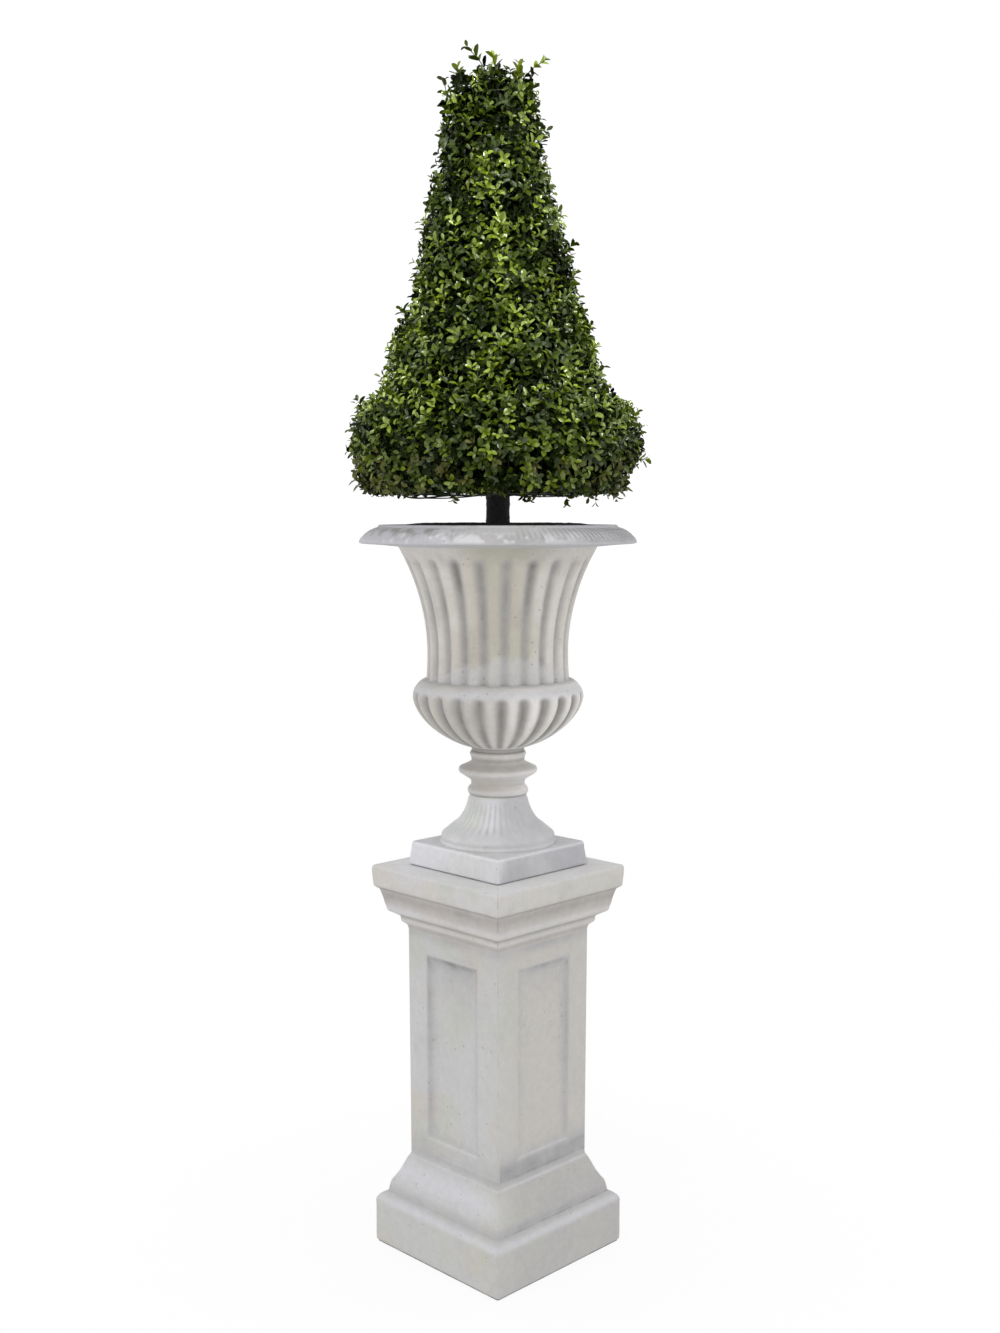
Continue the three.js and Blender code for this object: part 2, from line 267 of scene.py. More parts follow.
def lattice_noise(points: Array, cell: float, seed: int) -> Array:
    """Smooth noise from -1 to 1: random values at the corners of cubic cells, mixed with eased shares.

    Args:
        points: Places, with three coordinates along the last axis.
        cell: Side of a cell.
        seed: Which noise.

    Returns:
        One value for each place.
    """
    table = np.random.default_rng(seed).uniform(-1.0, 1.0, (32, 32, 32))
    grid = points / cell
    low = np.floor(grid).astype(int)
    share = eased(grid - low)
    total = np.zeros(points.shape[:-1])
    for corner in np.ndindex(2, 2, 2):
        step = np.array(corner)
        weight = np.prod(np.where(step, share, 1.0 - share), axis=-1)
        x, y, z = np.moveaxis((low + step) % 32, -1, 0)
        total += weight * table[x, y, z]
    return total


# --- meshes


@dataclass
class Shape:
    """Points in millimetres with the faces between them.

    Attributes:
        points: One row of x, y and z for each point.
        faces: Blocks with one row of point numbers for each face.
        marks: Values at the points for the finish.
    """

    points: Array
    faces: list[Array]
    marks: Marks = field(default_factory=dict)


def woven(rows: int, columns: int, ring: bool = False) -> Array:
    """Four-sided faces of a grid of points whose columns run round and close.

    Args:
        rows: Number of rows, from the lowest up along the outside.
        columns: Number of columns, anticlockwise from above.
        ring: True if the last row joins the first one too.

    Returns:
        Point numbers of each face, anticlockwise from outside.
    """
    index = np.arange(rows * columns).reshape(rows, columns)
    index = np.concatenate([index, index[:, :1]], axis=1)
    if ring:
        index = np.concatenate([index, index[:1]], axis=0)
    sides = (index[:-1, :-1], index[:-1, 1:], index[1:, 1:], index[1:, :-1])
    return np.stack(sides, axis=-1).reshape(-1, 4)


def fan(middle: int, ring: Array) -> Array:
    """Triangles from a middle point to each side of a ring of points."""
    return np.stack([np.full(len(ring), middle), ring, np.roll(ring, -1)], axis=1)


def lofted(grid: Array, marks: Marks | None = None) -> Shape:
    """A closed shape from rows of points round an axis, with a fan of triangles over each end.

    Args:
        grid: Points by row and column.
        marks: Values by row and column.

    Returns:
        The shape, whose last two points are the middles of its ends.
    """
    rows, columns = grid.shape[:2]
    first = np.arange(columns)
    ends = [fan(rows * columns, first)[:, [0, 2, 1]], fan(rows * columns + 1, first + (rows - 1) * columns)]
    points = np.concatenate([grid.reshape(-1, 3), [grid[0].mean(axis=0), grid[-1].mean(axis=0)]])
    kept = {}
    for mark, value in (marks or {}).items():
        full = np.broadcast_to(value, grid.shape[:2])
        kept[mark] = np.append(full, [full[0].mean(), full[-1].mean()])
    return Shape(points, [woven(rows, columns), np.concatenate(ends)], kept)


def ringed(grid: Array, marks: Marks | None = None) -> Shape:
    """A closed ring from rows of points that run up the outside and down the inside."""
    kept = {mark: value.ravel() for mark, value in (marks or {}).items()}
    return Shape(grid.reshape(-1, 3), [woven(*grid.shape[:2], ring=True)], kept)


def square_to(heading: Array, hint: Array) -> tuple[Array, Array]:
    """Two directions square to a heading and to each other, the first one square to a hint too."""
    u = unit(np.cross(heading, hint))
    return u, np.cross(heading, u)


def swung(u: Array, v: Array, angle: Array) -> Array:
    """Directions at angles from u towards v, at each station of each line."""
    return u[:, :, None] * np.cos(angle)[..., None] + v[:, :, None] * np.sin(angle)[..., None]


def tubes(centres: Array, radii: Array, sides: int) -> Shape:
    """Round bars along many lines at once, with regular polygons square to the line and one face on each end.

    Args:
        centres: Middle points by bar and station.
        radii: Radius by bar and station.
        sides: Corners of a section.

    Returns:
        One shape with all bars.
    """
    bars, stations = centres.shape[:2]
    heading = unit(np.gradient(centres, axis=1))
    hint = np.where(np.abs(heading[:, :1, 2:]) > 0.8, np.array([1.0, 0.0, 0.0]), UP)
    points = centres[:, :, None] + swung(*square_to(heading, hint), circle(sides)) * radii[:, :, None, None]
    first = (np.arange(bars) * stations * sides)[:, None, None]
    walls = first + woven(stations, sides)[None]
    start = first[:, 0] + np.arange(sides)[::-1]
    end = first[:, 0] + np.arange(sides) + (stations - 1) * sides
    return Shape(points.reshape(-1, 3), [walls.reshape(-1, 4), start, end])


def joined(shapes: list[Shape]) -> Shape:
    """Several shapes as one, with the point numbers of each moved past those before it.

    Args:
        shapes: The shapes.

    Returns:
        The one shape.
    """
    sizes = np.cumsum([0] + [len(shape.points) for shape in shapes[:-1]])
    faces = [block + n for shape, n in zip(shapes, sizes, strict=True) for block in shape.faces]
    return Shape(np.concatenate([shape.points for shape in shapes]), faces)


def linked(name: str, data: bpy.types.ID) -> bpy.types.Object:
    """Makes an object in the scene from its data.

    Args:
        name: Its name.
        data: Its data.

    Returns:
        The object.
    """
    thing = bpy.data.objects.new(name, data)
    bpy.context.scene.collection.objects.link(thing)
    return thing


def meshed(name: str, shape: Shape, finishes: list[Material]) -> bpy.types.Mesh:
    """Makes a mesh in metres.

    Args:
        name: Its name.
        shape: Its points, faces and marks.
        finishes: Its materials.

    Returns:
        The mesh.
    """
    mesh = bpy.data.meshes.new(name)
    sizes = np.concatenate([np.full(len(block), block.shape[1]) for block in shape.faces])
    corners = np.concatenate([block.ravel() for block in shape.faces])
    mesh.vertices.add(len(shape.points))
    mesh.vertices.foreach_set("co", (shape.points * MM).ravel())
    mesh.loops.add(len(corners))
    mesh.loops.foreach_set("vertex_index", corners.astype(np.int32))
    mesh.polygons.add(len(sizes))
    mesh.polygons.foreach_set("loop_start", np.append(0, np.cumsum(sizes)[:-1]).astype(np.int32))
    for finish in finishes:
        mesh.materials.append(finish)
    for mark, values in shape.marks.items():
        layer = mesh.attributes.new(mark.value, "FLOAT", "POINT")
        layer.data.foreach_set("value", values.astype(np.float32))
    return mesh


def made(
    name: str,
    shape: Shape,
    finishes: list[Material],
    nodes: list[str],
    paint: Array | None = None,
    crease: float = 40.0,
) -> None:
    """Makes a piece that rides on the body and stands for nodes of the frame.

    Args:
        name: Name of the piece.
        shape: Its points and faces.
        finishes: Its materials.
        nodes: The nodes that it replaces.
        paint: Number of the material on each face, where there are several.
        crease: Angle in degrees from which an edge shades as a crease.
    """
    mesh = meshed(name, shape, finishes)
    if paint is not None:
        mesh.polygons.foreach_set("material_index", paint.astype(np.int32))
    mesh.update(calc_edges=True)
    mesh.set_sharp_from_angle(angle=math.radians(crease))
    piece = linked(name, mesh)
    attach(piece, BODY)
    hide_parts(*nodes)
    triangles = len(mesh.loops) - 2 * len(mesh.polygons)
    log.info("%s: %d points, %d triangles", name, len(shape.points), triangles)


# --- finishes


class Graph:
    """Adds shader nodes to a new material or world and joins them."""

    def __init__(self, owner: bpy.types.ID, place: str = "Object") -> None:
        """Starts on the owner's own tree, with one kind of coordinates.

        Args:
            owner: The material or world.
            place: Kind of the coordinates.
        """
        owner.use_nodes = True
        self.owner = owner
        self.tree = owner.node_tree
        self.shader = self.tree.nodes.get("Principled BSDF")
        self.place = self.node("ShaderNodeTexCoord", {}, place)

    def feed(self, socket: bpy.types.NodeSocket, value: object) -> None:
        """Joins a socket to another one's value, or sets it to a plain value.

        Args:
            socket: The socket.
            value: Another socket or a plain value.
        """
        if isinstance(value, bpy.types.NodeSocket):
            self.tree.links.new(value, socket)
        elif socket.type == "RGBA" and len(value) == 3:
            socket.default_value = (*value, 1.0)
        else:
            socket.default_value = value

    def node(self, kind: str, feeds: dict, result: str | int = 0, **settings: object) -> bpy.types.NodeSocket:
        """Adds a node.

        Args:
            kind: Its type.
            feeds: Plain values or sockets for its inputs, by their names or numbers.
            result: The wanted output.
            settings: Its properties.

        Returns:
            That output.
        """
        node = self.tree.nodes.new(kind)
        for key, value in settings.items():
            setattr(node, key, value)
        for key, value in feeds.items():
            self.feed(node.inputs[key], value)
        return node.outputs[result]

    def moved(self, offset: Colour | None, stretch: Colour = UNSTRETCHED) -> object:
        """The coordinates, stretched and moved, or as they are where there is no offset."""
        feeds = {"Vector": self.place, "Location": offset, "Scale": stretch}
        return self.node("ShaderNodeMapping", feeds) if offset else self.place

    def noise(
        self,
        scale: float,
        detail: float = 3.0,
        rough: float = 0.55,
        offset: Colour | None = None,
        stretch: Colour = UNSTRETCHED,
    ) -> object:
        """Noise from 0 to 1, with a number of clouds for each metre and of finer layers."""
        feeds = {"Vector": self.moved(offset, stretch), "Scale": scale, "Detail": detail, "Roughness": rough}
        return self.node("ShaderNodeTexNoise", feeds, "Fac")

    def cells(self, scale: float, result: str = "Distance", offset: Colour | None = None) -> object:
        """Distance to, or the random colour of, the nearest of scattered points."""
        return self.node("ShaderNodeTexVoronoi", {"Vector": self.moved(offset), "Scale": scale}, result)

    def graded(
        self, value: object, low: float, high: float, start: float = 0.0, end: float = 1.0, soft: bool = True
    ) -> object:
        """A value that goes from start to end as the given one goes from low to high, softly or evenly."""
        feeds = {"Value": value, "From Min": low, "From Max": high, "To Min": start, "To Max": end}
        return self.node("ShaderNodeMapRange", feeds, interpolation_type="SMOOTHSTEP" if soft else "LINEAR")

    def sum(self, kind: str, a: object, b: object) -> object:
        """The result of one kind of arithmetic on two values."""
        return self.node("ShaderNodeMath", {0: a, 1: b}, "Value", operation=kind)

    def times(self, a: object, b: object) -> object:
        """The product of two values."""
        return self.sum("MULTIPLY", a, b)

    def blend(self, share: object, a: object, b: object, kind: str = "MIX") -> object:
        """Two colours mixed by a share."""
        return self.node("ShaderNodeMix", {"Factor": share, 6: a, 7: b}, 2, data_type="RGBA", blend_type=kind)

    def grey(self, value: object) -> object:
        """The grey of a value."""
        return self.node("ShaderNodeCombineColor", dict.fromkeys(("Red", "Green", "Blue"), value), "Color")

    def mark(self, mark: Mark) -> object:
        """The value of a mark kept at the points of the mesh."""
        return self.node("ShaderNodeAttribute", {}, "Fac", attribute_name=mark.value)

    def bump(self, height: object, depth: float, **below: object) -> object:
        """A normal tilted by a height of 0 to 1, for a depth in metres, on top of any coarser Normal."""
        return self.node("ShaderNodeBump", {"Distance": depth, "Height": height, **below}, "Normal")

    def dress(self, colour: object, roughness: object, **normal: object) -> Material:
        """Feeds the shader and gives the material.

        Args:
            colour: Base colour.
            roughness: Roughness.
            normal: Normal, by that name.

        Returns:
            The material.
        """
        for key, value in {"Base Color": colour, "Roughness": roughness, **normal}.items():
            self.feed(self.shader.inputs[key], value)
        return self.owner


@dataclass(frozen=True)
class CastStone:
    """Weathered cast stone in faint patches, with pinholes, pale bloom, and painted shade and highlights.

    Attributes:
        name: Name of the material.
        pale: Colour of the faces.
        warm: Colour of the pinkish patches.
        green: Colour of the greenish patches.
        cool: Colour of random cool clouds and of the painted shade in shallow hollows.
        deep: Colour of the painted shade in the deepest creases and gaps.
        bloom: Colour of the powdery bloom, of dust and wear, and of painted highlights on edges and lit
            faces.
        patches: Patches for each metre.
        holes: Share of cells that hold a pinhole.
        lee: How much the side that looks along +X and +Y takes of its own tone, which paints light or shade
            there.
        lee_tone: That tone, lighter or darker than the faces for the light that falls on that side.
        reach: Sum of x and y in metres where that tone starts and where it is full.
        both: Whether the tone lies on both sides of the front instead.
        sheen: Strength of the dusty shimmer where the face is seen at a slant.
        dust: How much pale powder lies in drifts on faces that look up.
        seam: Colour of the seams.
        pit: Colour in the pinholes.
        fleck: Colour of the finest flecks.
    """

    name: str
    pale: Colour
    warm: Colour
    green: Colour
    cool: Colour
    deep: Colour
    bloom: Colour
    lee_tone: Colour
    lee: float = 1.0
    patches: float = 6.0
    holes: float = 0.22
    reach: Pair = (-0.07, 0.09)
    both: bool = False
    sheen: float = 0.25
    dust: float = 0.0
    seam: Colour = (0.24, 0.225, 0.205)
    pit: Colour = (0.16, 0.15, 0.14)
    fleck: Colour = (0.30, 0.29, 0.27)

    def material(self) -> Material:
        """Builds the material on object coordinates and on the marks for painted shade, bloom with highlight,
        and seams.

        Returns:
            The material.
        """
        g = Graph(bpy.data.materials.new(self.name))
        g.shader.inputs["Sheen Weight"].default_value = self.sheen
        x = g.node("ShaderNodeSeparateXYZ", {"Vector": g.place}, "X")
        across = g.sum("ADD", x, x.node.outputs["Y"])
        across = g.sum("ABSOLUTE", across, 0.0) if self.both else across
        # Painted light and shade: the side that looks along +X and +Y, and with both set the other flank too,
        # takes its own tone.
        colour = g.blend(g.graded(across, *self.reach, 0.0, self.lee), self.pale, self.lee_tone)
        spared = g.graded(across, *self.reach, 1.0, 1.0 - 0.75 * self.lee)
        for tone, finer, offset, low, high in (
            (self.warm, 1.0, (0.4, 0.9, 0.2), 0.47, 0.62),
            (self.green, 1.3, (3.1, 1.7, 5.3), 0.50, 0.66),
        ):
            patch = g.graded(g.noise(self.patches * finer, 2.0, 0.5, offset), low, high)
            colour = g.blend(g.times(patch, spared), colour, tone)
        cloud = g.graded(g.noise(8.0, 4.0, 0.6, (1.1, 4.7, 2.3)), 0.50, 0.80, 0.0, 0.5)
        colour = g.blend(cloud, colour, self.cool)
        # Painted shade from the mark: cool in shallow places, the deep colour in the deepest creases.
        hollow = g.times(g.mark(Mark.HOLLOW), g.graded(g.noise(24.0, 3.0), 0.25, 0.75, 0.78, 1.12))
        colour = g.blend(g.graded(hollow, 0.0, 0.5, soft=False), colour, self.cool)
        colour = g.blend(g.graded(hollow, 0.5, 1.0, soft=False), colour, self.deep)
        # Bloom and wear, and painted highlights, from the mark.
        colour = g.blend(g.mark(Mark.BLOOM), colour, self.bloom)
        normal = g.node("ShaderNodeNewGeometry", {}, "Normal")
        level = g.graded(g.node("ShaderNodeSeparateXYZ", {"Vector": normal}, "Z"), 0.8, 0.98)
        drifts = g.graded(g.noise(10.0, 3.0, 0.6, (7.3, 2.2, 4.1)), 0.42, 0.60, 0.3 * self.dust, self.dust)
        colour = g.blend(g.times(level, drifts), colour, self.bloom)
        worn = g.graded(g.noise(30.0, 3.0, 0.6, (5.0, 2.0, 8.0)), 0.40, 0.62)
        colour = g.blend(g.times(g.mark(Mark.SEAM), worn), colour, self.seam)
        mottle = g.graded(g.noise(60.0, 5.0, 0.65), 0.25, 0.75, 0.955, 1.035)
        grain = g.noise(520.0, 2.0, 0.7)
        shade = g.times(mottle, g.graded(grain, 0.3, 0.7, 0.945, 1.045))
        colour = g.blend(1.0, colour, g.grey(shade), "MULTIPLY")
        chance = g.node("ShaderNodeSeparateColor", {"Color": g.cells(75.0, "Color")}, "Red")
        chosen = g.sum("LESS_THAN", chance, self.holes)
        hole = g.times(g.graded(g.cells(75.0), 0.06, 0.13, 1.0, 0.0), chosen)
        colour = g.blend(g.times(hole, 0.7), colour, self.pit)
        flecks = g.graded(g.cells(330.0, "Distance", (0.3, 0.9, 0.2)), 0.10, 0.24, 0.30, 0.0)
        colour = g.blend(flecks, colour, self.fleck)
        normal = g.bump(grain, 0.0009, Normal=g.bump(mottle, 0.005))
        normal = g.bump(g.sum("SUBTRACT", 1.0, hole), 0.0014, Normal=normal)
        return g.dress(colour, g.graded(mottle, 0.955, 1.035, 0.94, 0.82), Normal=normal)


@dataclass(frozen=True)
class Rough:
    """A dark rough surface in two tones with a grain that may run lengthwise.

    Attributes:
        name: Name of the material.
        low: Colour in the pits.
        high: Colour on the grain.
        scale: Grains for each metre.
        depth: Depth of the grain in metres.
        roughness: Roughness of the surface.
        stretch: How the grain is squeezed along each axis.
    """

    name: str
    low: Colour
    high: Colour
    scale: float
    depth: float
    roughness: float
    stretch: Colour = UNSTRETCHED

    def material(self) -> Material:
        """Builds the material on object coordinates.

        Returns:
            The material.
        """
        g = Graph(bpy.data.materials.new(self.name))
        grain = g.noise(self.scale, 5.0, 0.65, (0.0, 0.0, 0.0), self.stretch)
        cloud = g.graded(g.noise(self.scale / 9.0, 2.0), 0.2, 0.8, 0.4, 1.0)
        colour = g.blend(g.times(g.graded(grain, 0.35, 0.7), cloud), self.low, self.high)
        rough = g.graded(grain, 0.3, 0.7, self.roughness - 0.1, self.roughness + 0.1)
        return g.dress(colour, rough, Normal=g.bump(grain, self.depth))


@dataclass(frozen=True)
class LeafGloss:
    """A moulded leaf in one plain green, with a gloss that varies and faint veins.

    Attributes:
        tint: Which of the greens.
        colour: Its plain colour.
        roughness: Its middle roughness.
        gloss: Strength of its mirror-like part.
    """

    tint: Tint
    colour: Colour
    roughness: float
    gloss: float

    def material(self) -> Material:
        """Builds the material, whose colour is plain so that it goes out with the mesh.

        Returns:
            The material.
        """
        g = Graph(bpy.data.materials.new(f"leaf_{self.tint.name.lower()}"))
        g.shader.inputs["Specular IOR Level"].default_value = self.gloss
        rough = g.graded(g.noise(160.0, 2.0), 0.3, 0.7, self.roughness - 0.08, self.roughness + 0.12)
        return g.dress(self.colour, rough, Normal=g.bump(g.noise(900.0, 1.0), 0.0002))


# --- pedestal


SHAFT_STONE = CastStone(
    "shaft_stone",
    pale=(0.505, 0.507, 0.507),
    warm=(0.512, 0.487, 0.452),
    green=(0.483, 0.494, 0.455),
    cool=(0.400, 0.391, 0.397),
    deep=(0.205, 0.20, 0.195),
    bloom=(0.60, 0.60, 0.625),
    # Painted shade: the side that looks along +X and +Y is a little darker and warmer.
    lee_tone=(0.499, 0.482, 0.453),
)
BASE_STONE = replace(
    SHAFT_STONE,
    name="base_stone",
    pale=(0.484, 0.486, 0.476),
    warm=(0.490, 0.472, 0.435),
    green=(0.462, 0.474, 0.405),
    deep=(0.09, 0.085, 0.08),
    bloom=(0.60, 0.60, 0.64),
    # Painted shade: the side that looks along +X and +Y is darker.
    lee_tone=(0.420, 0.413, 0.403),
)
CAP_STONE = replace(
    SHAFT_STONE,
    name="cap_stone",
    pale=(0.547, 0.534, 0.532),
    warm=(0.540, 0.512, 0.480),
    cool=(0.385, 0.358, 0.342),
    bloom=(0.64, 0.64, 0.67),
    # Painted shade: the side that looks along +X and +Y is a little darker and warmer.
    lee_tone=(0.540, 0.522, 0.496),
    dust=0.4,
)


@dataclass
class SquareSection:
    """A square with rounded corners, carried up a line of half widths and heights.

    The half widths are those of the sharp square with the same diagonal.

    Attributes:
        corner: Radius of the corners.
        nicks: How much that radius varies with height.
        corner_steps: Facets round each corner, an even number.
    """

    corner: float = 6.0
    nicks: float = 1.3
    corner_steps: int = 8

    def columns(self, across: Array) -> tuple[Array, Array]:
        """Place along the side and turn round the next corner, for each column of one side.

        Args:
            across: Places of the columns along the flat of the side, from -1 to 1.

        Returns:
            Both, with the corner's columns after the side's.
        """
        turn = np.linspace(0.0, math.pi / 2.0, self.corner_steps + 1)[:-1]
        flat = len(across) - 1
        return np.append(across[:-1], np.ones(len(turn))), np.append(np.zeros(flat), turn)

    def grid(self, line: Array, across: Array, sunk: float | Array = 0.0) -> Array:
        """Rows of points round the square.

        A point is the side's straight run of half width less corner radius, plus the radius turned round the
        corner, less what the side is sunk there. The other three sides are quarter turns of the first. The
        half width grows by the radius times 1 less the root of one half, which keeps the diagonal.

        Args:
            line: Half width and height of each row.
            across: Places of the columns along a side, from -1 to 1.
            sunk: Depth by row and column of one side.

        Returns:
            Points by row and column.
        """
        along, turn = self.columns(across)
        half, height = line[:, :1], line[:, 1:]
        wander = self.nicks * lattice_noise(height * UP, 23.0, 3)[:, None]
        corner = np.minimum(self.corner + wander, half * 0.5)
        inner = half - math.sqrt(0.5) * corner
        x = inner + corner * np.cos(turn) - sunk
        y = inner * along + corner * np.sin(turn)
        quarters = [(x, y), (-y, x), (-x, -y), (y, -x)]
        up = np.broadcast_to(height, x.shape)
        return np.concatenate([np.stack([a, b, up], axis=-1) for a, b in quarters], axis=1)

    def seam(self, across: Array, strength: float) -> Array:
        """A mark on the middle line of each corner, by column."""
        turn = self.columns(across)[1]
        return np.tile(np.where(np.abs(turn - math.pi / 4.0) < 0.01, strength, 0.0), 4)


@dataclass
class Pedestal:
    """Square pedestal: moulded base, shaft with a sunk panel on each face, and moulded cap.

    Outlines run up as half width, height and rise of the arc.

    Attributes:
        section: Square section of shaft and cap.
        base: Outline of the base.
        cap: Outline of the cap.
        shaft_foot: Half width and height of the shaft's foot.
        shaft_top: Half width and height of its top.
        panel: Width, height and middle's height of a panel.
        panel_depth: How deep it lies.
        panel_slope: Width of its sloped border.
        ledge: Distance on both sides of its edge that has more rows and columns.
        crease: Extra depth of the crease along the border.
        under_top: Strength and reach of the shade under the top edge, on the panels that look along X.
        under_top_left: The same on the other two.
        foot_shade: How much of the foot's shade each side takes, from the one that looks along +X round.
    """

    section: SquareSection = field(default_factory=SquareSection)
    base: Outline = (
        (191.0, 0.0), (191.2, 2.4), (194.2, 5.0), (194.7, 20.0), (194.5, 92.0), (191.3, 106.0, 1.6),
        (183.8, 113.0, 0.3), (176.7, 117.0), (174.4, 120.5, -0.4), (172.5, 132.0), (170.3, 141.0),
        (164.8, 150.0, 0.6), (157.1, 164.0, 0.3), (146.3, 190.5), (139.7, 204.0, 0.3), (138.0, 212.0, -0.6),
        (138.0, 222.0),
    )
    cap: Outline = (
        (140.1, 722.0), (142.4, 732.0, -0.3), (150.6, 739.0, -0.2), (152.4, 745.0, 0.4), (152.9, 751.0),
        (157.2, 755.0, -0.6), (165.7, 760.0), (172.2, 764.0, 0.4), (174.4, 769.5, 0.5), (177.8, 782.0),
        (184.3, 809.0, -0.6), (186.6, 814.5, -0.5), (192.0, 818.0), (194.9, 823.0, 0.8), (197.3, 856.0, 0.3),
        (196.4, 864.0, 0.4), (192.5, 867.0, 0.8),
    )
    shaft_foot: Pair = (138.0, 222.0)
    shaft_top: Pair = (140.1, 722.0)
    panel: Triple = (160.0, 415.0, 467.5)
    panel_depth: float = 8.0
    panel_slope: float = 22.0
    ledge: float = 5.0
    crease: float = 0.2
    under_top: Pair = (0.24, 34.0)
    under_top_left: Pair = (0.50, 60.0)
    foot_shade: tuple[float, ...] = (2.3, 1.0, 1.0, 0.60)

    def sunk(self, sideways: Array, height: Array, shade: Pair) -> tuple[Array, Array, Array]:
        """How deep the panel lies, how much painted shade its sloped border takes and how pale its lower edge
        is.

        The depth is the panel's depth times the eased share of the slope walked inwards from the nearest
        edge, plus a shallow crease along the edge. The painted shade is strongest in the crease, and there
        most of all on the far edge, and more of it lies under the top edge. The pale line along the lower
        edge is wear and painted highlight.

        Args:
            sideways: Distance from the middle of the side, positive towards its far edge.
            height: Height above the floor.
            shade: Strength of the shade under the top edge and how far down it reaches.

        Returns:
            Depth, painted shade and the pale line of wear and painted highlight, by row and column.
        """
        width, tall, middle = self.panel
        beside = width / 2.0 - np.abs(sideways)
        above = tall / 2.0 - (height - middle)
        below = tall / 2.0 + (height - middle)
        inwards = np.minimum(np.minimum(beside, above), below)
        share = inwards / self.panel_slope
        slope = 0.45 * np.clip(share, 0.0, 1.0) + 0.55 * eased(share)
        border = eased((share + 0.15) / 0.4) * (1.0 - eased((share - 0.35) / 1.1))
        crease = bell(inwards, 6.0, 7.5)
        at_foot, at_far, at_top = (
            eased((np.minimum(a, b) - c) / 6.0)
            for a, b, c in ((beside, above, below), (above, below, beside), (beside, below, above))
        )
        strength = 0.10 + 0.20 * (at_far * np.where(sideways > 0.0, 1.0, 0.0)) + 0.08 * at_top
        under = np.where(inwards > 0.0, shade[0] * np.exp(-np.clip(above, 0.0, None) / shade[1]), 0.0)
        hollow = np.clip(0.20 * border + strength * crease + under, 0.0, 1.0)
        wear = 0.42 * at_foot * bell(inwards, -1.2, 3.2)
        return self.panel_depth * slope + self.crease * crease, hollow, wear

    def shaft(self) -> Shape:
        """The shaft's grid, with more rows and columns on the panels' slopes.

        Returns:
            The shape.
        """
        (foot_width, foot), (top_width, top) = self.shaft_foot, self.shaft_top
        width, tall, middle = self.panel
        low, high = middle - tall / 2.0, middle + tall / 2.0
        slope, ledge = self.panel_slope + 4.0, self.ledge
        stops = [foot, low - ledge, low + ledge, low + slope, high - slope, high - ledge, high + ledge, top]
        rows = graded(stops, [6, 9, 7, 34, 7, 9, 6])
        widths = mixed(foot_width, top_width, (rows - foot) / (top - foot))
        corner = self.section.corner * math.sqrt(0.5)
        edge = width / 2.0
        places = np.array([edge - slope, edge - ledge, edge + ledge]) / (foot_width - corner)
        across = graded([-1.0, *(-places[::-1]), *places, 1.0], [4, 9, 7, 10, 7, 9, 4])
        along, turn = self.section.columns(across)
        sideways = (widths[:, None] - corner) * along
        height, flat = rows[:, None], turn == 0.0
        depth, *right = (part * flat for part in self.sunk(sideways, height, self.under_top))
        left = [part * flat for part in self.sunk(-sideways, height, self.under_top_left)[1:]]
        grid = self.section.grid(np.stack([widths, rows], axis=1), across, depth)
        hollow, wear = (np.concatenate([a, b, a, b], axis=1) for a, b in zip(right, left, strict=True))
        uneven = 1.0 + 0.45 * lattice_noise(grid, 70.0, 8)
        by_side = np.repeat(self.foot_shade, len(along))
        # Painted shade under the cap and at the foot, strongest on the side that looks along +X.
        at_foot = banded(height, [(foot, 42.0, 0.46)]) * by_side * mixed(1.0, uneven, 0.4)
        shade = np.clip(banded(height, [(top, 15.0, 0.40)]) * uneven + np.minimum(at_foot, 0.66), 0.0, 1.0)
        seam = self.section.seam(across, 0.75) * eased((height - 520.0) / 160.0)
        seam = np.maximum(seam, self.section.seam(across, 0.35))
        hollow = np.clip(np.maximum(hollow * (0.35 + 0.65 * uneven), shade), 0.0, 1.0)
        return lofted(grid, {Mark.HOLLOW: hollow, Mark.BLOOM: wear, Mark.SEAM: seam})

    def moulding(
        self, line: Array, section: SquareSection, seam: float, hollows: list[Band], worn: list[Band]
    ) -> Shape:
        """A moulded square block.

        Args:
            line: Half width and height of each row.
            section: Its square section.
            seam: Strength of the seam on its corners.
            hollows: Bands of height that take painted shade.
            worn: Bands of height that show pale, as wear and painted highlight.

        Returns:
            The shape.
        """
        across = np.linspace(-1.0, 1.0, 13)
        marks = {**belts(line, hollows, worn), Mark.SEAM: section.seam(across, seam)}
        return lofted(section.grid(line, across), marks)

    def base_shape(self) -> Shape:
        """The base, with a painted highlight on its lit side's slope and painted shade under the shaft on the
        other side.

        Returns:
            The shape.
        """
        # Painted shade: a contact shadow along the floor, the groove under the slope and the foot of the
        # shaft.
        hollows = [(1.0, 4.2, 1.0), (119.0, 2.5, 0.35), (127.0, 11.0, 0.58)]
        hollows = [*hollows, (222.0, 18.0, 0.46), (155.0, 18.0, 0.07)]
        # Pale bands of wear and painted highlight on the block's top splay and along the slope's upper edge.
        worn = [(106.0, 8.5, 0.66), (203.0, 3.0, 0.50)]
        line = profile(self.base, 120, 0.9)
        base = self.moulding(line, SquareSection(corner=6.5, nicks=1.6), 0.2, hollows, worn)
        x, y, z = base.points.T
        # Painted light on the lit side: a paler slope and less painted shade in the groove; more painted
        # shade on the other side under the shaft.
        lit = eased(0.5 - (x + y) / 120.0)
        base.marks[Mark.BLOOM] = np.maximum(base.marks[Mark.BLOOM], lit * banded(z, [(168.0, 30.0, 0.75)]))
        base.marks[Mark.HOLLOW] *= 1.0 - 0.5 * lit * banded(z, [(130.0, 22.0, 1.0)])
        base.marks[Mark.HOLLOW] += 0.22 * (1.0 - lit) * banded(z, [(222.0, 9.0, 1.0)])
        return base

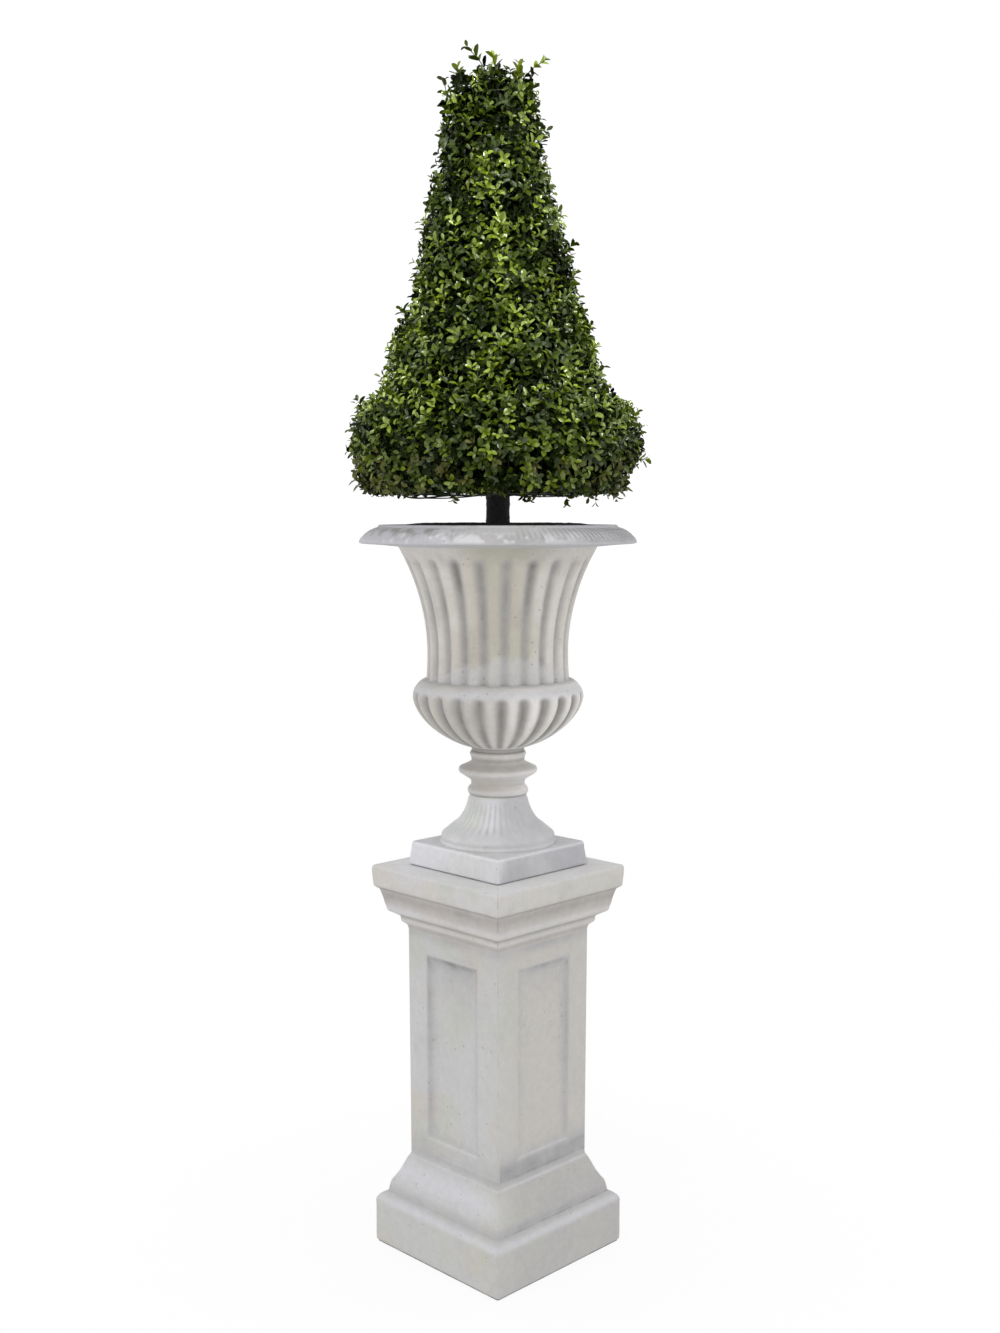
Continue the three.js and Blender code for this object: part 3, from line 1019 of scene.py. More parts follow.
    def cap_shape(self) -> Shape:
        """The cap, with painted shade under each of its mouldings and pale edges of wear and painted
        highlight.

        Returns:
            The shape.
        """
        hollows = [(729.0, 8.0, 0.46), (754.5, 4.5, 0.72), (786.0, 16.0, 0.22)]
        hollows = [*hollows, (804.0, 14.0, 0.52), (816.5, 3.0, 0.6)]
        worn = [(772.0, 6.0, 0.30), (866.0, 4.0, 0.30), (744.0, 3.5, 0.20)]
        return self.moulding(profile(self.cap, 130, 0.9), self.section, 0.75, hollows, worn)

    def build(self) -> None:
        """Makes the blocks in pale cast stone, the base with cooler painted shade on its +X +Y side and the
        cap warmer.
        """
        for node, shape, finish in (
            ("pedestal_base", self.base_shape(), BASE_STONE),
            ("pedestal_shaft", self.shaft(), SHAFT_STONE),
            ("pedestal_cap", self.cap_shape(), CAP_STONE),
        ):
            made(f"{node}_stone", shape, [finish.material()], [node])


# --- urn


BODY_STONE = CastStone(
    "body_stone",
    pale=(0.470, 0.442, 0.378),
    warm=(0.460, 0.425, 0.368),
    green=(0.455, 0.445, 0.368),
    cool=(0.345, 0.333, 0.320),
    deep=(0.205, 0.195, 0.17),
    bloom=(0.53, 0.53, 0.55),
    patches=7.0,
    holes=0.35,
    lee=0.9,
    # Painted light: both flanks are lighter than the front.
    lee_tone=(0.626, 0.602, 0.574),
    reach=(0.03, 0.16),
    both=True,
)
BOWL_STONE = replace(
    BODY_STONE,
    name="bowl_stone",
    pale=(0.462, 0.438, 0.414),
    warm=(0.515, 0.482, 0.420),
    green=(0.490, 0.475, 0.420),
    bloom=(0.55, 0.55, 0.585),
    lee=1.0,
    # Painted light: the bowl grows lighter towards the side that looks along +X and +Y.
    lee_tone=(0.713, 0.688, 0.666),
    reach=(-0.13, 0.13),
    both=False,
)
FOOT_STONE = CastStone(
    "foot_stone",
    pale=(0.670, 0.665, 0.690),
    warm=(0.60, 0.58, 0.56),
    green=(0.58, 0.595, 0.56),
    cool=(0.475, 0.475, 0.495),
    deep=(0.22, 0.215, 0.215),
    bloom=(0.70, 0.70, 0.72),
    holes=0.12,
    # Painted shade: the side that looks along +X and +Y is darker.
    lee_tone=(0.482, 0.480, 0.498),
    reach=(-0.03, 0.04),
)
PLINTH_STONE = replace(
    FOOT_STONE,
    name="plinth_stone",
    pale=(0.675, 0.670, 0.705),
    warm=(0.62, 0.61, 0.62),
    green=(0.62, 0.625, 0.62),
    # Painted shade: the side that looks along +X and +Y is darker.
    lee_tone=(0.441, 0.439, 0.462),
)
RIM_STONE = CastStone(
    "rim_stone",
    pale=(0.398, 0.394, 0.405),
    warm=(0.40, 0.39, 0.39),
    green=(0.40, 0.405, 0.395),
    cool=(0.29, 0.29, 0.292),
    deep=(0.20, 0.195, 0.18),
    bloom=(0.60, 0.60, 0.62),
    holes=0.12,
    # Painted light: both flanks are lighter than the front.
    lee_tone=(0.434, 0.430, 0.461),
    reach=(0.06, 0.20),
    both=True,
)


@dataclass(frozen=True)
class Flutes:
    """A ring of grooves round the urn.

    Attributes:
        count: Number of grooves.
        first: Plan angle of one groove, in degrees.
        columns: Columns of points for each groove.
    """

    count: int
    first: float
    columns: int = 16

    def angles(self) -> Array:
        """Plan angles of all columns, starting in the middle of a groove."""
        return math.radians(self.first) + circle(self.count * self.columns)

    def offset(self, angles: Array) -> Array:
        """Distance from the middle of the nearest groove, in pitches, from 0 to one half."""
        turns = (angles - math.radians(self.first)) * self.count / TURN
        return np.abs(turns - np.round(turns))


@dataclass
class Urn:
    """Campana urn: square plinth, fluted foot, ringed stem, gadrooned bowl, fluted bell and a carved rim.

    Outlines run up as radius, height and rise of the arc. The bowl's line is a drop below its widest height.

    Attributes:
        flutes: Grooves of the bell.
        gadroons: Valleys between the bowl's lobes.
        foot_flutes: Grooves of the foot.
        plinth: Outline of the plinth.
        foot: Outline of the foot.
        stem: Outline of the stem.
        shoulder: Outline of the bowl's shoulder.
        rim: Outline of the rim, which closes.
        foot_flute_depth: Depth of the foot's flutes where its radius is 90.
        foot_fluted: Heights where the foot's flutes start to show and to fade.
        foot_fading: Height that either takes.
        foot_lines: Plan angle where the painted shade in them is darkest.
        bowl: Radius, height where it is widest and height of its foot.
        bowl_drop: Depth and power of the drop.
        bowl_lobes: Depth of the valleys between lobes and height where they end.
        body_height: Heights of the bell's foot, waist and mouth.
        body_radii: Its radii there.
        flare: Power of its flare.
        wall: Its thickness.
        body_flutes: Depth of its grooves and height where they end.
        arch: Greatest height of the powder at its foot, and the plan angle of that.
        rim_face: Heights where the rim's carved face starts and ends.
        rim_marks: Plan angles where its carving is crispest, where its bloom lies and where its darker band
            lies.
        ribs: Number of ribs on it.
        ribs_in_group: Number of ribs over each scallop.
    """

    flutes: Flutes = Flutes(count=22, first=9.5)
    gadroons: Flutes = Flutes(count=24, first=2.5)
    foot_flutes: Flutes = Flutes(count=40, first=4.5, columns=8)
    plinth: Outline = (
        (135.2, 867.0), (135.6, 869.0), (139.3, 870.6, 0.3), (134.6, 908.0), (133.4, 917.5, 0.4),
        (128.5, 921.0, 1.2),
    )
    foot: Outline = (
        (128.3, 921.0), (127.8, 927.0, 0.6), (124.5, 931.5, -0.8), (124.5, 938.0, 0.5), (122.5, 942.0, 0.6),
        (98.0, 962.5), (83.5, 976.0, -1.2), (65.4, 1018.0, -2.5), (61.5, 1027.0, -0.3),
    )
    stem: Outline = (
        (62.5, 1027.0), (66.9, 1036.7, 0.9), (60.3, 1046.5, 1.2), (58.6, 1053.6, -0.5), (61.5, 1061.2, -0.4),
        (68.0, 1065.7), (84.0, 1076.0), (86.6, 1081.5, 0.6), (84.5, 1087.0, 0.4), (63.3, 1097.0, -0.4),
        (57.7, 1104.0, -1.0), (62.2, 1118.0, -0.3), (57.7, 1124.5), (57.7, 1134.0),
    )
    shoulder: Outline = (
        (187.3, 1246.0), (184.9, 1256.0, 0.4), (178.2, 1267.0, 0.6), (169.0, 1277.0, 0.7),
        (158.5, 1281.0, 0.8), (150.0, 1281.0),
    )
    rim: Outline = (
        (207.0, 1572.0), (223.0, 1570.0), (294.0, 1576.0, -0.5), (300.0, 1577.5, 0.4), (300.0, 1581.0, 0.3),
        (293.1, 1591.0, 1.0), (262.0, 1610.6, 2.6), (259.5, 1611.4), (255.5, 1616.0, 1.2), (210.0, 1616.0),
        (207.0, 1612.0, 0.6), (207.0, 1572.0),
    )
    foot_flute_depth: float = 2.2
    foot_fluted: Pair = (948.0, 1008.0)
    foot_fading: float = 14.0
    foot_lines: float = 318.0
    bowl: Triple = (187.3, 1246.0, 1134.0)
    bowl_drop: Pair = (121.5, 1.65)
    bowl_lobes: Pair = (13.0, 1247.0)
    body_height: Triple = (1281.0, 1340.0, 1570.0)
    body_radii: Triple = (156.4, 153.9, 216.0)
    flare: float = 2.0
    wall: float = 15.0
    body_flutes: Pair = (7.8, 1533.0)
    arch: Pair = (60.0, 325.0)
    rim_face: Pair = (1583.0, 1609.0)
    rim_marks: Triple = (32.0, 301.0, 272.0)
    ribs: int = 148
    ribs_in_group: int = 4

    def body_radius(self, height: Array) -> Array:
        """Radius of the bell: squared flare below the waist, and a power of the height above it.

        Args:
            height: Heights above the floor.

        Returns:
            The radius at each.
        """
        (foot, waist, mouth), (low, at) = self.body_radii, self.body_height[:2]
        down = np.clip((at - height) / (at - low), 0.0, 1.0)
        up = np.clip((height - at) / (self.body_height[2] - at), 0.0, 1.0)
        return waist + (foot - waist) * down**2 + (mouth - waist) * up**self.flare

    def body_shape(self) -> Shape:
        """The fluted bell as a wall round the fill.

        Each groove is as deep as its depth times the fourth power of the cosine of half a turn's share of its
        offset. Above the end height the offset is the distance to the groove's end point, so that each groove
        ends round. The bloom lies at the front on each ridge up to an arch, lower towards the sides.

        Returns:
            The shape.
        """
        angles = self.flutes.angles()
        low, _, high = self.body_height
        depth, end = self.body_flutes
        rows = graded([low, low + 12.0, 1500.0, 1556.0, high], [5, 46, 22, 4])
        height = rows[:, None]
        radius = self.body_radius(rows)[:, None]
        offset = self.flutes.offset(angles)
        past = np.clip(height - end, 0.0, None) / (TURN * radius / self.flutes.count)
        groove = np.cos(math.pi * np.minimum(np.hypot(offset, past), 0.5)) ** 4
        spot = polar(radius - depth * groove, angles, height)
        inner = np.linspace(high, low, 24)
        inside = turned(np.stack([self.body_radius(inner) - self.wall, inner], axis=1), angles)
        tallest, plan = self.arch
        arch = tallest * towards(angles, plan) ** 4 * (1.0 - 0.12 * np.cos(math.pi * offset) ** 6)
        arch = arch + 3.0 * np.sin(9.0 * angles + 1.0)
        arch = arch + 6.0 * lattice_noise(spot, 22.0, 15) + 5.0 * lattice_noise(spot, 6.0, 16)
        powder = 0.56 * eased((low + arch - height) / 15.0 + 0.5) * (1.0 - 0.3 * groove)
        # Painted shade in the grooves, less of it on the flanks and under the bloom, and a band of it at the
        # bell's foot.
        ledge = np.exp(-(height - low) / 3.0)
        rise = eased((end + 8.0 - height) / 150.0)
        flank = np.sin(angles - math.radians(FRONT)) ** 2
        dark = 0.92 * groove * (1.0 - 0.4 * powder) * (1.0 - 0.45 * flank) * mixed(0.9, 0.8, rise)
        dark = np.clip((dark + 0.35 * ledge) * (1.0 + 0.35 * lattice_noise(spot, 60.0, 9)), 0.0, 1.0)
        plain = np.zeros(inside.shape[:2])
        marks = {Mark.HOLLOW: np.concatenate([dark, plain]), Mark.BLOOM: np.concatenate([powder, plain])}
        return ringed(np.concatenate([spot, inside]), marks)

    def bowl_shape(self) -> Shape:
        """The gadrooned bowl: its line, with lobes, a plain shoulder and the seat of the bell.

        The radius is the bowl's times the root of 1 less a power of the share of the drop. Between lobes it
        is less by the depth times the valley, 1 less the sine of half a turn's share of the offset, in step
        with the radius. Above the end height the offset grows, so that the lobes end round.

        Returns:
            The shape.
        """
        angles = self.gadroons.angles()
        full, widest, low = self.bowl
        drop, power = self.bowl_drop
        depth, end = self.bowl_lobes
        fall = np.linspace(1.0, 0.0, 70) ** 1.3 * (widest - low)
        curve = np.stack([full * np.sqrt(1.0 - (fall / drop) ** power), widest - fall], axis=1)
        line = spaced(softened(np.concatenate([curve, drawn(self.shoulder)[1:]]), 1.2), 104)
        radius, height = line[:, :1], line[:, 1:]
        past = np.clip(height - end, 0.0, None) / (TURN * full / self.gadroons.count)
        away = np.minimum(np.hypot(self.gadroons.offset(angles), past * 1.3), 0.5)
        valley = np.clip((1.0 - np.sqrt(np.sin(math.pi * away) ** 2 + 0.01)) / 0.9, 0.0, 1.0)
        rise = eased((height - low) / 8.0)
        cut = depth * (radius / full) ** 0.8 * valley * rise
        # Painted shade in the valleys and in the crease under the bell, and a painted highlight on the
        # shoulder.
        ledge = banded(height, [(1281.0, 4.0, 0.35), (1268.0, 8.0, 0.10)])
        dark = np.clip(0.78 * np.cos(math.pi * away) ** 2.4 * rise + ledge, 0.0, 1.0)
        marks = {Mark.HOLLOW: dark, Mark.BLOOM: banded(height, [(1264.0, 11.0, 0.60)])}
        return lofted(polar(np.clip(radius - cut, 1.0, None), angles, height), marks)

    def foot_shape(self) -> Shape:
        """The foot with shallow flutes that fade out at the ring below and at the stem above.

        Returns:
            The shape.
        """
        angles = self.foot_flutes.angles()
        line = profile(self.foot, 80, 2.0)
        radius, height = line[:, :1], line[:, 1:]
        wave = np.cos(math.pi * self.foot_flutes.offset(angles)) ** 2
        start, end = (eased((height - level) / self.foot_fading) for level in self.foot_fluted)
        fade = start * (1.0 - end)
        fluted = radius - self.foot_flute_depth * wave**2 * fade * radius / 90.0
        # Painted shade in the flutes, darkest towards one side, and under the ring; a faint painted highlight
        # along the ring.
        lines = (0.10 + 0.30 * towards(angles, self.foot_lines) ** 4) * wave**3 * fade
        dark = lines + banded(height, [(930.5, 4.5, 0.34), (921.0, 3.0, 0.22), (950.0, 16.0, 0.34)])
        marks = {Mark.HOLLOW: np.clip(dark, 0.0, 1.0), Mark.BLOOM: banded(height, [(925.0, 3.0, 0.15)])}
        return lofted(polar(fluted, angles, height), marks)

    def stem_shape(self) -> Shape:
        """The ringed stem, plain all round.

        Returns:
            The shape.
        """
        line = profile(self.stem, 110, 0.8)
        # Painted shade under the rings, and pale edges of wear and painted highlight.
        hollows = [(1029.0, 2.4, 0.7), (1053.0, 5.0, 0.22), (1062.0, 6.0, 0.12), (1094.0, 7.0, 0.34)]
        hollows = [*hollows, (1106.0, 5.0, 0.45), (1124.0, 2.4, 0.8), (1131.0, 5.0, 0.5)]
        worn = [(1037.0, 3.5, 0.6), (1077.0, 6.0, 0.5), (1117.0, 2.4, 0.5), (1063.0, 3.0, 0.3)]
        return lofted(turned(line, circle(96)), belts(line, hollows, worn))

    def plinth_shape(self) -> Shape:
        """The square plinth with softened corners and a narrow gap under it.

        Returns:
            The shape.
        """
        line = profile(self.plinth, 54, 0.7)
        # Painted shade in the gap under it and in the crease at its top, and a painted highlight on its top
        # edge.
        marks = belts(line, [(867.0, 2.4, 1.0), (921.5, 2.4, 0.56)], [(917.0, 2.6, 0.65)])
        return lofted(SquareSection(corner=4.0, nicks=0.8).grid(line, np.linspace(-1.0, 1.0, 9)), marks)

    def carving(self, angles: Array, share: Array) -> Array:
        """Height of the rim's feather carving, from about 0 to 1.

        Fine ribs run down the face, rounded on top with narrow grooves between, and end below along a
        scalloped line, one scallop for each group of ribs.

        Args:
            angles: Plan angles of the columns.
            share: Place of each row between the lower and the upper edge, from 0 to 1.

        Returns:
            Height by row and column.
        """
        turns = angles * self.ribs / TURN + 0.35 * share
        groove = np.abs(np.cos(math.pi * turns)) ** 3
        scallop = np.abs(np.sin(math.pi * turns / self.ribs_in_group))
        inside = eased((share - 0.42 + 0.34 * scallop) / 0.12)
        edge = np.exp(-(((share - 0.36 + 0.34 * scallop) / 0.05) ** 2))
        return 0.6 + inside * (0.25 - 0.75 * groove) - 0.25 * edge

    def rim_shape(self) -> Shape:
        """The rim as a ring, its face carved along the normal and worn away in places.

        Returns:
            The shape.
        """
        angles = circle(self.ribs * 7)
        crispest, powdered, dark_band_at = self.rim_marks
        line = spaced(softened(drawn(self.rim), 0.7), 70, 9.0)[:-1]
        heading = unit(np.roll(line, -1, axis=0) - np.roll(line, 1, axis=0))
        normal = np.stack([heading[:, 1], -heading[:, 0]], axis=1)
        height = line[:, 1:]
        low, high = self.rim_face
        on_face = (normal[:, :1] > 0.2) & (normal[:, 1:] > -0.2)
        share = np.clip((height - low) / (high - low), 0.0, 1.0)
        fade = np.where(on_face, eased((height - (low - 3.0)) / 3.0), 0.0)
        fade = fade * (1.0 - eased((height - high) / 2.0))
        spot = turned(line, angles)
        crisp = 1.05 * towards(angles, crispest) ** 3.0
        wear = np.clip(0.05 + crisp + 0.35 * lattice_noise(spot, 26.0, 11), 0.08, 1.0)
        carved = self.carving(angles, share)
        lift = (carved - 0.6) * 2.0 * wear * fade
        # Painted shade in the carving's grooves.
        groove_shade = np.clip(0.85 - carved, 0.0, 1.0) * wear * fade
        cloud = lattice_noise(spot, 24.0, 5) + 0.6 * lattice_noise(spot, 9.0, 6)
        front = 1.0 - eased((np.abs(aside(angles, powdered)) - 0.45) / 0.5)
        bloom = fade * (1.0 - eased((share - 0.45) / 0.4)) * front * eased((cloud + 0.20) / 0.5)
        # A darker scalloped band high on the face, towards one side.
        scallop = np.abs(np.sin(math.pi * (angles * self.ribs / (TURN * self.ribs_in_group))))
        left = bell(aside(angles, dark_band_at), 0.0, 0.44)
        dark_band = fade * eased((share - 0.76 + 0.46 * scallop) / 0.16) * left * eased(cloud + 0.7)
        # Painted shade on faces that look down.
        under = eased((-normal[:, 1:] - 0.3) / 0.5)
        hollow = np.clip(groove_shade + 0.20 * under + 0.90 * dark_band, 0.0, 1.0)
        grid = spot + lift[..., None] * turned(normal, angles)
        return ringed(grid, {Mark.HOLLOW: hollow, Mark.BLOOM: 0.72 * bloom})

    def build(self) -> None:
        """Makes the urn in cream-grey cast stone, with a greyer rim and a paler foot and plinth."""
        middle = BOWL_STONE.material()
        for node, shape, finish in (
            ("urn_plinth", self.plinth_shape(), PLINTH_STONE.material()),
            ("urn_foot", self.foot_shape(), FOOT_STONE.material()),
            ("urn_stem", self.stem_shape(), middle),
            ("urn_bowl", self.bowl_shape(), middle),
            ("urn_body", self.body_shape(), BODY_STONE.material()),
            ("urn_rim", self.rim_shape(), RIM_STONE.material()),
        ):
            made(f"{node}_stone", shape, [finish], [node])


# --- fill, pole and cage


@dataclass
class Fill:
    """Crumbly planting medium inside the urn, mounded a little above its rim.

    Attributes:
        top: Height of the mound's middle.
        edge: Height where it meets the wall.
        radius: Radius at the mouth.
        slack: Distance kept from the wall.
        crumb: Height of the crumbs.
    """

    top: float = 1619.2
    edge: float = 1612.0
    radius: float = 206.8
    slack: float = 0.3
    crumb: float = 0.9

    def build(self, urn: Urn) -> None:
        """Makes the fill from the bell's foot up, its surface roughened by three sizes of lattice noise.

        Args:
            urn: The urn round it.
        """
        foot, _, mouth = urn.body_height
        heights = np.linspace(foot, mouth, 20)
        inside = np.minimum(urn.body_radius(heights) - urn.wall - self.slack, self.radius)
        radius = np.append(np.linspace(self.radius, 150.0, 24), np.linspace(147.0, 1.0, 62))
        mound = self.edge + (self.top - self.edge) * (1.0 - (radius / self.radius) ** 16)
        line = np.stack([np.append(inside, radius), np.append(heights, mound)], axis=1)
        grid = turned(line, circle(180))
        crumbs = sum(
            height * lattice_noise(grid, cell, seed)
            for height, cell, seed in ((1.0, 16.0, 21), (0.8, 6.0, 22), (0.7, 3.1, 23))
        )
        grid[len(heights) :, :, 2] += self.crumb * crumbs[len(heights) :]
        soil = Rough("planting_medium", (0.004, 0.0035, 0.003), (0.03, 0.025, 0.02), 260.0, 0.003, 0.9)
        made("fill_crumbs", lofted(grid), [soil.material()], ["urn_fill"], crease=SMOOTH)


@dataclass
class Pole:
    """Straight black pole with a rough bark-like face.

    Attributes:
        foot: Height of its flat cut.
        top: Height of its top.
        foot_radius: Radius at the foot.
        top_radius: Radius at the top.
        relief: Height of the bark's ridges.
    """

    foot: float = 1619.3
    top: float = 2450.0
    foot_radius: float = 26.0
    top_radius: float = 19.0
    relief: float = 1.3

    def radius_at(self, height: Array) -> Array:
        """Radius at a height, on the straight taper."""
        return mixed(self.foot_radius, self.top_radius, (height - self.foot) / (self.top - self.foot))

    def build(self) -> None:
        """Makes the pole: a taper with long fissures, plus short knobs, both from lattice noise."""
        angles = circle(96)
        rows = graded([self.foot, 1720.0, self.top], [70, 250])[:, None]
        spot = polar(self.radius_at(rows), angles, rows)
        fissure = lattice_noise(spot * np.array([1.0, 1.0, 0.22]), 5.0, 31)
        knob = np.clip(lattice_noise(spot, 7.0, 32) - 0.35, 0.0, None) * 2.2
        lift = self.relief * (0.6 * np.abs(fissure) - 0.5 + knob + 0.25 * lattice_noise(spot, 2.4, 33))
        lift[0] = np.minimum(lift[0], 0.0)
        shape = lofted(polar(self.radius_at(rows) + lift, angles, rows))
        tones = ((0.004, 0.004, 0.0045), (0.022, 0.022, 0.024))
        bark = Rough("pole_bark", *tones, 240.0, 0.0025, 0.62, stretch=(1.0, 1.0, 0.3))
        made("pole_bark", shape, [bark.material()], ["trunk"], crease=SMOOTH)


@dataclass
class Cage:
    """Wire cage that holds the foliage: a hoop with spokes below, and ribs and rings inside the leaves.

    Attributes:
        radius: Radius of the hoop.
        level: Height of the hoop's middle.
        wire: Radius of its wire.
        spokes: Number of spokes.
        tilt: How far the hoop hangs lower on the left.
        sag: How far the hoop and the spokes wander.
        bulge: Height and radius of the ribs inside the crown where they are widest.
        peak: Their height and radius at the top.
        inset: How far they stay inside the crown's face.
    """

    radius: float = 205.0
    level: float = 1681.0
    wire: float = 1.9
    spokes: int = 6
    tilt: float = 3.5
    sag: float = 4.2
    bulge: Pair = (1730.0, 232.0)
    peak: Pair = (2420.0, 40.0)
    inset: float = 55.0

    def drop(self, angles: Array) -> Array:
        """How far the hoop lies from its level: the tilt plus a slow wave of sagging."""
        tilt = -self.tilt * np.cos(angles - math.radians(LEFT))
        return tilt + self.sag * (0.6 * np.sin(3.0 * angles + 0.8) + 0.4 * np.sin(7.0 * angles))

    def hoop(self, radius: float, level: float, lift: float) -> Shape:
        """One closed hoop of eight-sided sections, whose wave is turned by the lift in radians.

        Args:
            radius: Its radius.
            level: Its height.
            lift: Turn of its wave.

        Returns:
            The shape.
        """
        angles, section = circle(120)[:, None], circle(8)
        spread = radius + self.sag * np.sin(4.0 * angles + lift) + self.wire * np.cos(section)
        up = level + self.drop(angles + lift) + self.wire * np.sin(section)
        return ringed(np.swapaxes(polar(spread, angles, up), 0, 1))

    def ribs(self, crown: "ClippedCone", pole: Pole) -> Shape:
        """Spokes from the pole to the hoop, and ribs that rise from the hoop inside the crown.

        Args:
            crown: The crown round them.
            pole: The pole.

        Returns:
            The shape.
        """
        plan = (np.arange(self.spokes) + 0.35)[:, None] * TURN / self.spokes
        t = np.linspace(0.0, 1.0, 9)
        reach = mixed(float(pole.radius_at(np.array(self.level))) - 2.0, self.radius, t)
        flat = polar(reach, plan, self.level + self.drop(plan) * t - self.sag * np.sin(math.pi * t))
        many = (np.arange(2 * self.spokes) + 0.7)[:, None] * TURN / (2 * self.spokes)
        up = mixed(self.level, self.peak[0], np.linspace(0.0, 1.0, 16))
        levels, radii = zip((self.level, self.radius), self.bulge, self.peak, strict=True)
        inside = np.minimum(np.interp(up, levels, radii), crown.radius_at(up) - self.inset)
        rise = polar(inside, many, up + self.drop(many))
        return joined([tubes(lines, np.full(lines.shape[:2], self.wire * 0.8), 6) for lines in (flat, rise)])

    def build(self, crown: "ClippedCone", pole: Pole) -> None:
        """Makes the cage in dark coated wire.

        Args:
            crown: The crown round it.
            pole: The pole.
        """
        hoops = ((self.radius, self.level, 0.0), (self.radius - 6.0, self.level + 5.0, 1.9))
        hoops = (*hoops, (120.0, self.level + 3.0, 4.1), (225.0, 1760.0, 0.7), (150.0, 2010.0, 2.2))
        coat = Rough("cage_wire", (0.008, 0.010, 0.010), (0.035, 0.045, 0.042), 500.0, 0.0004, 0.5)
        shape = joined([*(self.hoop(*hoop) for hoop in hoops), self.ribs(crown, pole)])
        made("cage_wires", shape, [coat.material()], ["cage_wheel"])


# --- crown


@dataclass
class ClippedCone:
    """Outline of the clipped crown, from the middle of its underside to its top, as radius and height.

    Attributes:
        outline: Corners of the outline.
        bump: Greatest unevenness of the clipped face.
        lean: How far the top leans off the axis to the left.
        hem: How far the lower edge lies off the axis, to the same side.
        under: Height from which the lean starts.
        top: Height at which it is greatest.
        side_from: Radius of the underside's edge, where the side of the outline starts.
    """

    outline: Outline = (
        (34.0, 1691.0), (120.0, 1687.0), (215.0, 1678.0), (270.0, 1676.0), (291.0, 1688.0), (297.0, 1714.0),
        (314.0, 1752.0), (319.0, 1785.0), (307.0, 1838.0), (293.0, 1876.0), (258.0, 1898.0), (241.0, 1924.0),
        (231.0, 1984.0), (185.0, 2100.0), (156.0, 2235.0), (121.0, 2370.0), (108.0, 2470.0), (103.0, 2518.0),
        (84.0, 2552.0), (36.0, 2568.0), (0.0, 2568.0),
    )
    bump: float = 8.0
    lean: float = 14.0
    hem: float = 12.0
    under: float = 1690.0
    top: float = 2592.0
    side_from: float = 283.0

    def __post_init__(self) -> None:
        """Works out the softened outline and how the surface grows along it."""
        self.line = softened(drawn(self.outline, 2.0), 9.0)
        steps = np.linalg.norm(np.diff(self.line, axis=0), axis=1)
        rings = (self.line[1:, 0] + self.line[:-1, 0]) / 2.0 * steps
        self.area = np.append(0.0, np.cumsum(rings))
        heading = unit(np.gradient(self.line, axis=0))
        self.normal = np.stack([heading[:, 1], -heading[:, 0]], axis=1)

    def radius_at(self, height: Array) -> Array:
        """Radius of the outline's side at a height."""
        side = self.line[np.argmax(self.line[:, 0] > self.side_from) :]
        return np.interp(height, side[:, 1], side[:, 0])

    def uneven(self, angles: Array, height: Array) -> Array:
        """Unevenness from -1 to 1: three waves round the crown that drift with height.

        Args:
            angles: Plan angles.
            height: Heights above the floor.

        Returns:
            The unevenness.
        """
        return (
            0.5 * np.sin(3.0 * angles + height / 70.0)
            + 0.3 * np.sin(5.0 * angles - height / 45.0 + 1.3)
            + 0.2 * np.sin(8.0 * angles + height / 28.0 + 4.0)
        )

    def on_surface(self, share: Array, angles: Array) -> tuple[Array, Array]:
        """Places on the crown's face.

        Args:
            share: Share of the face's area below each place, from 0 at the underside's middle to 1 on top.
            angles: Plan angle of each place.

        Returns:
            Points, with bumps and lean, and normals that point out.
        """
        at = share * self.area[-1]
        radius, height = sampled(self.line, self.area, at).T
        out, up = sampled(self.normal, self.area, at).T
        spread = radius + self.bump * self.uneven(angles, height) * np.minimum(radius / 80.0, 1.0)
        drift = self.lean * np.clip((height - self.under) / (self.top - self.under), 0.0, 1.0) ** 0.6
        drift = drift + self.hem * eased((1770.0 - height) / 70.0) * eased(radius / 200.0)
        lean = np.array([math.cos(math.radians(LEFT)), math.sin(math.radians(LEFT)), 0.0])
        return polar(spread, angles, height) + drift[:, None] * lean, unit(polar(out, angles, up))


@dataclass(frozen=True)
class LeafShape:
    """A pointed oval leaf of unit length along +Y, folded a little along its midrib, facing +Z."""

    stations: tuple[float, ...] = (0.22, 0.54, 0.84)
    half_widths: tuple[float, ...] = (0.165, 0.262, 0.190)
    fold: float = 0.48

    def points(self) -> Array:
        """Eleven points: the base, then left edge, midrib and right edge at each station, then the tip.

        Returns:
            Their rows.
        """
        across = np.array([-1.0, 0.0, 1.0])
        half = np.array(self.half_widths)[:, None]
        along = np.broadcast_to(np.array(self.stations)[:, None], (3, 3))
        rows = np.stack([half * across, along, self.fold * half * np.abs(across)], axis=-1)
        return np.concatenate([[[0.0, 0.0, 0.0]], rows.reshape(-1, 3), [[0.0, 1.0, 0.0]]])

    def faces(self) -> tuple[Array, Array]:
        """Four triangles at the ends and four quads between, anticlockwise seen from the face."""
        ends = np.array([[0, 3, 2], [0, 2, 1], [8, 9, 10], [7, 8, 10]])
        return ends, np.array([[2, 3, 6, 5], [1, 2, 5, 4], [5, 6, 9, 8], [4, 5, 8, 7]])


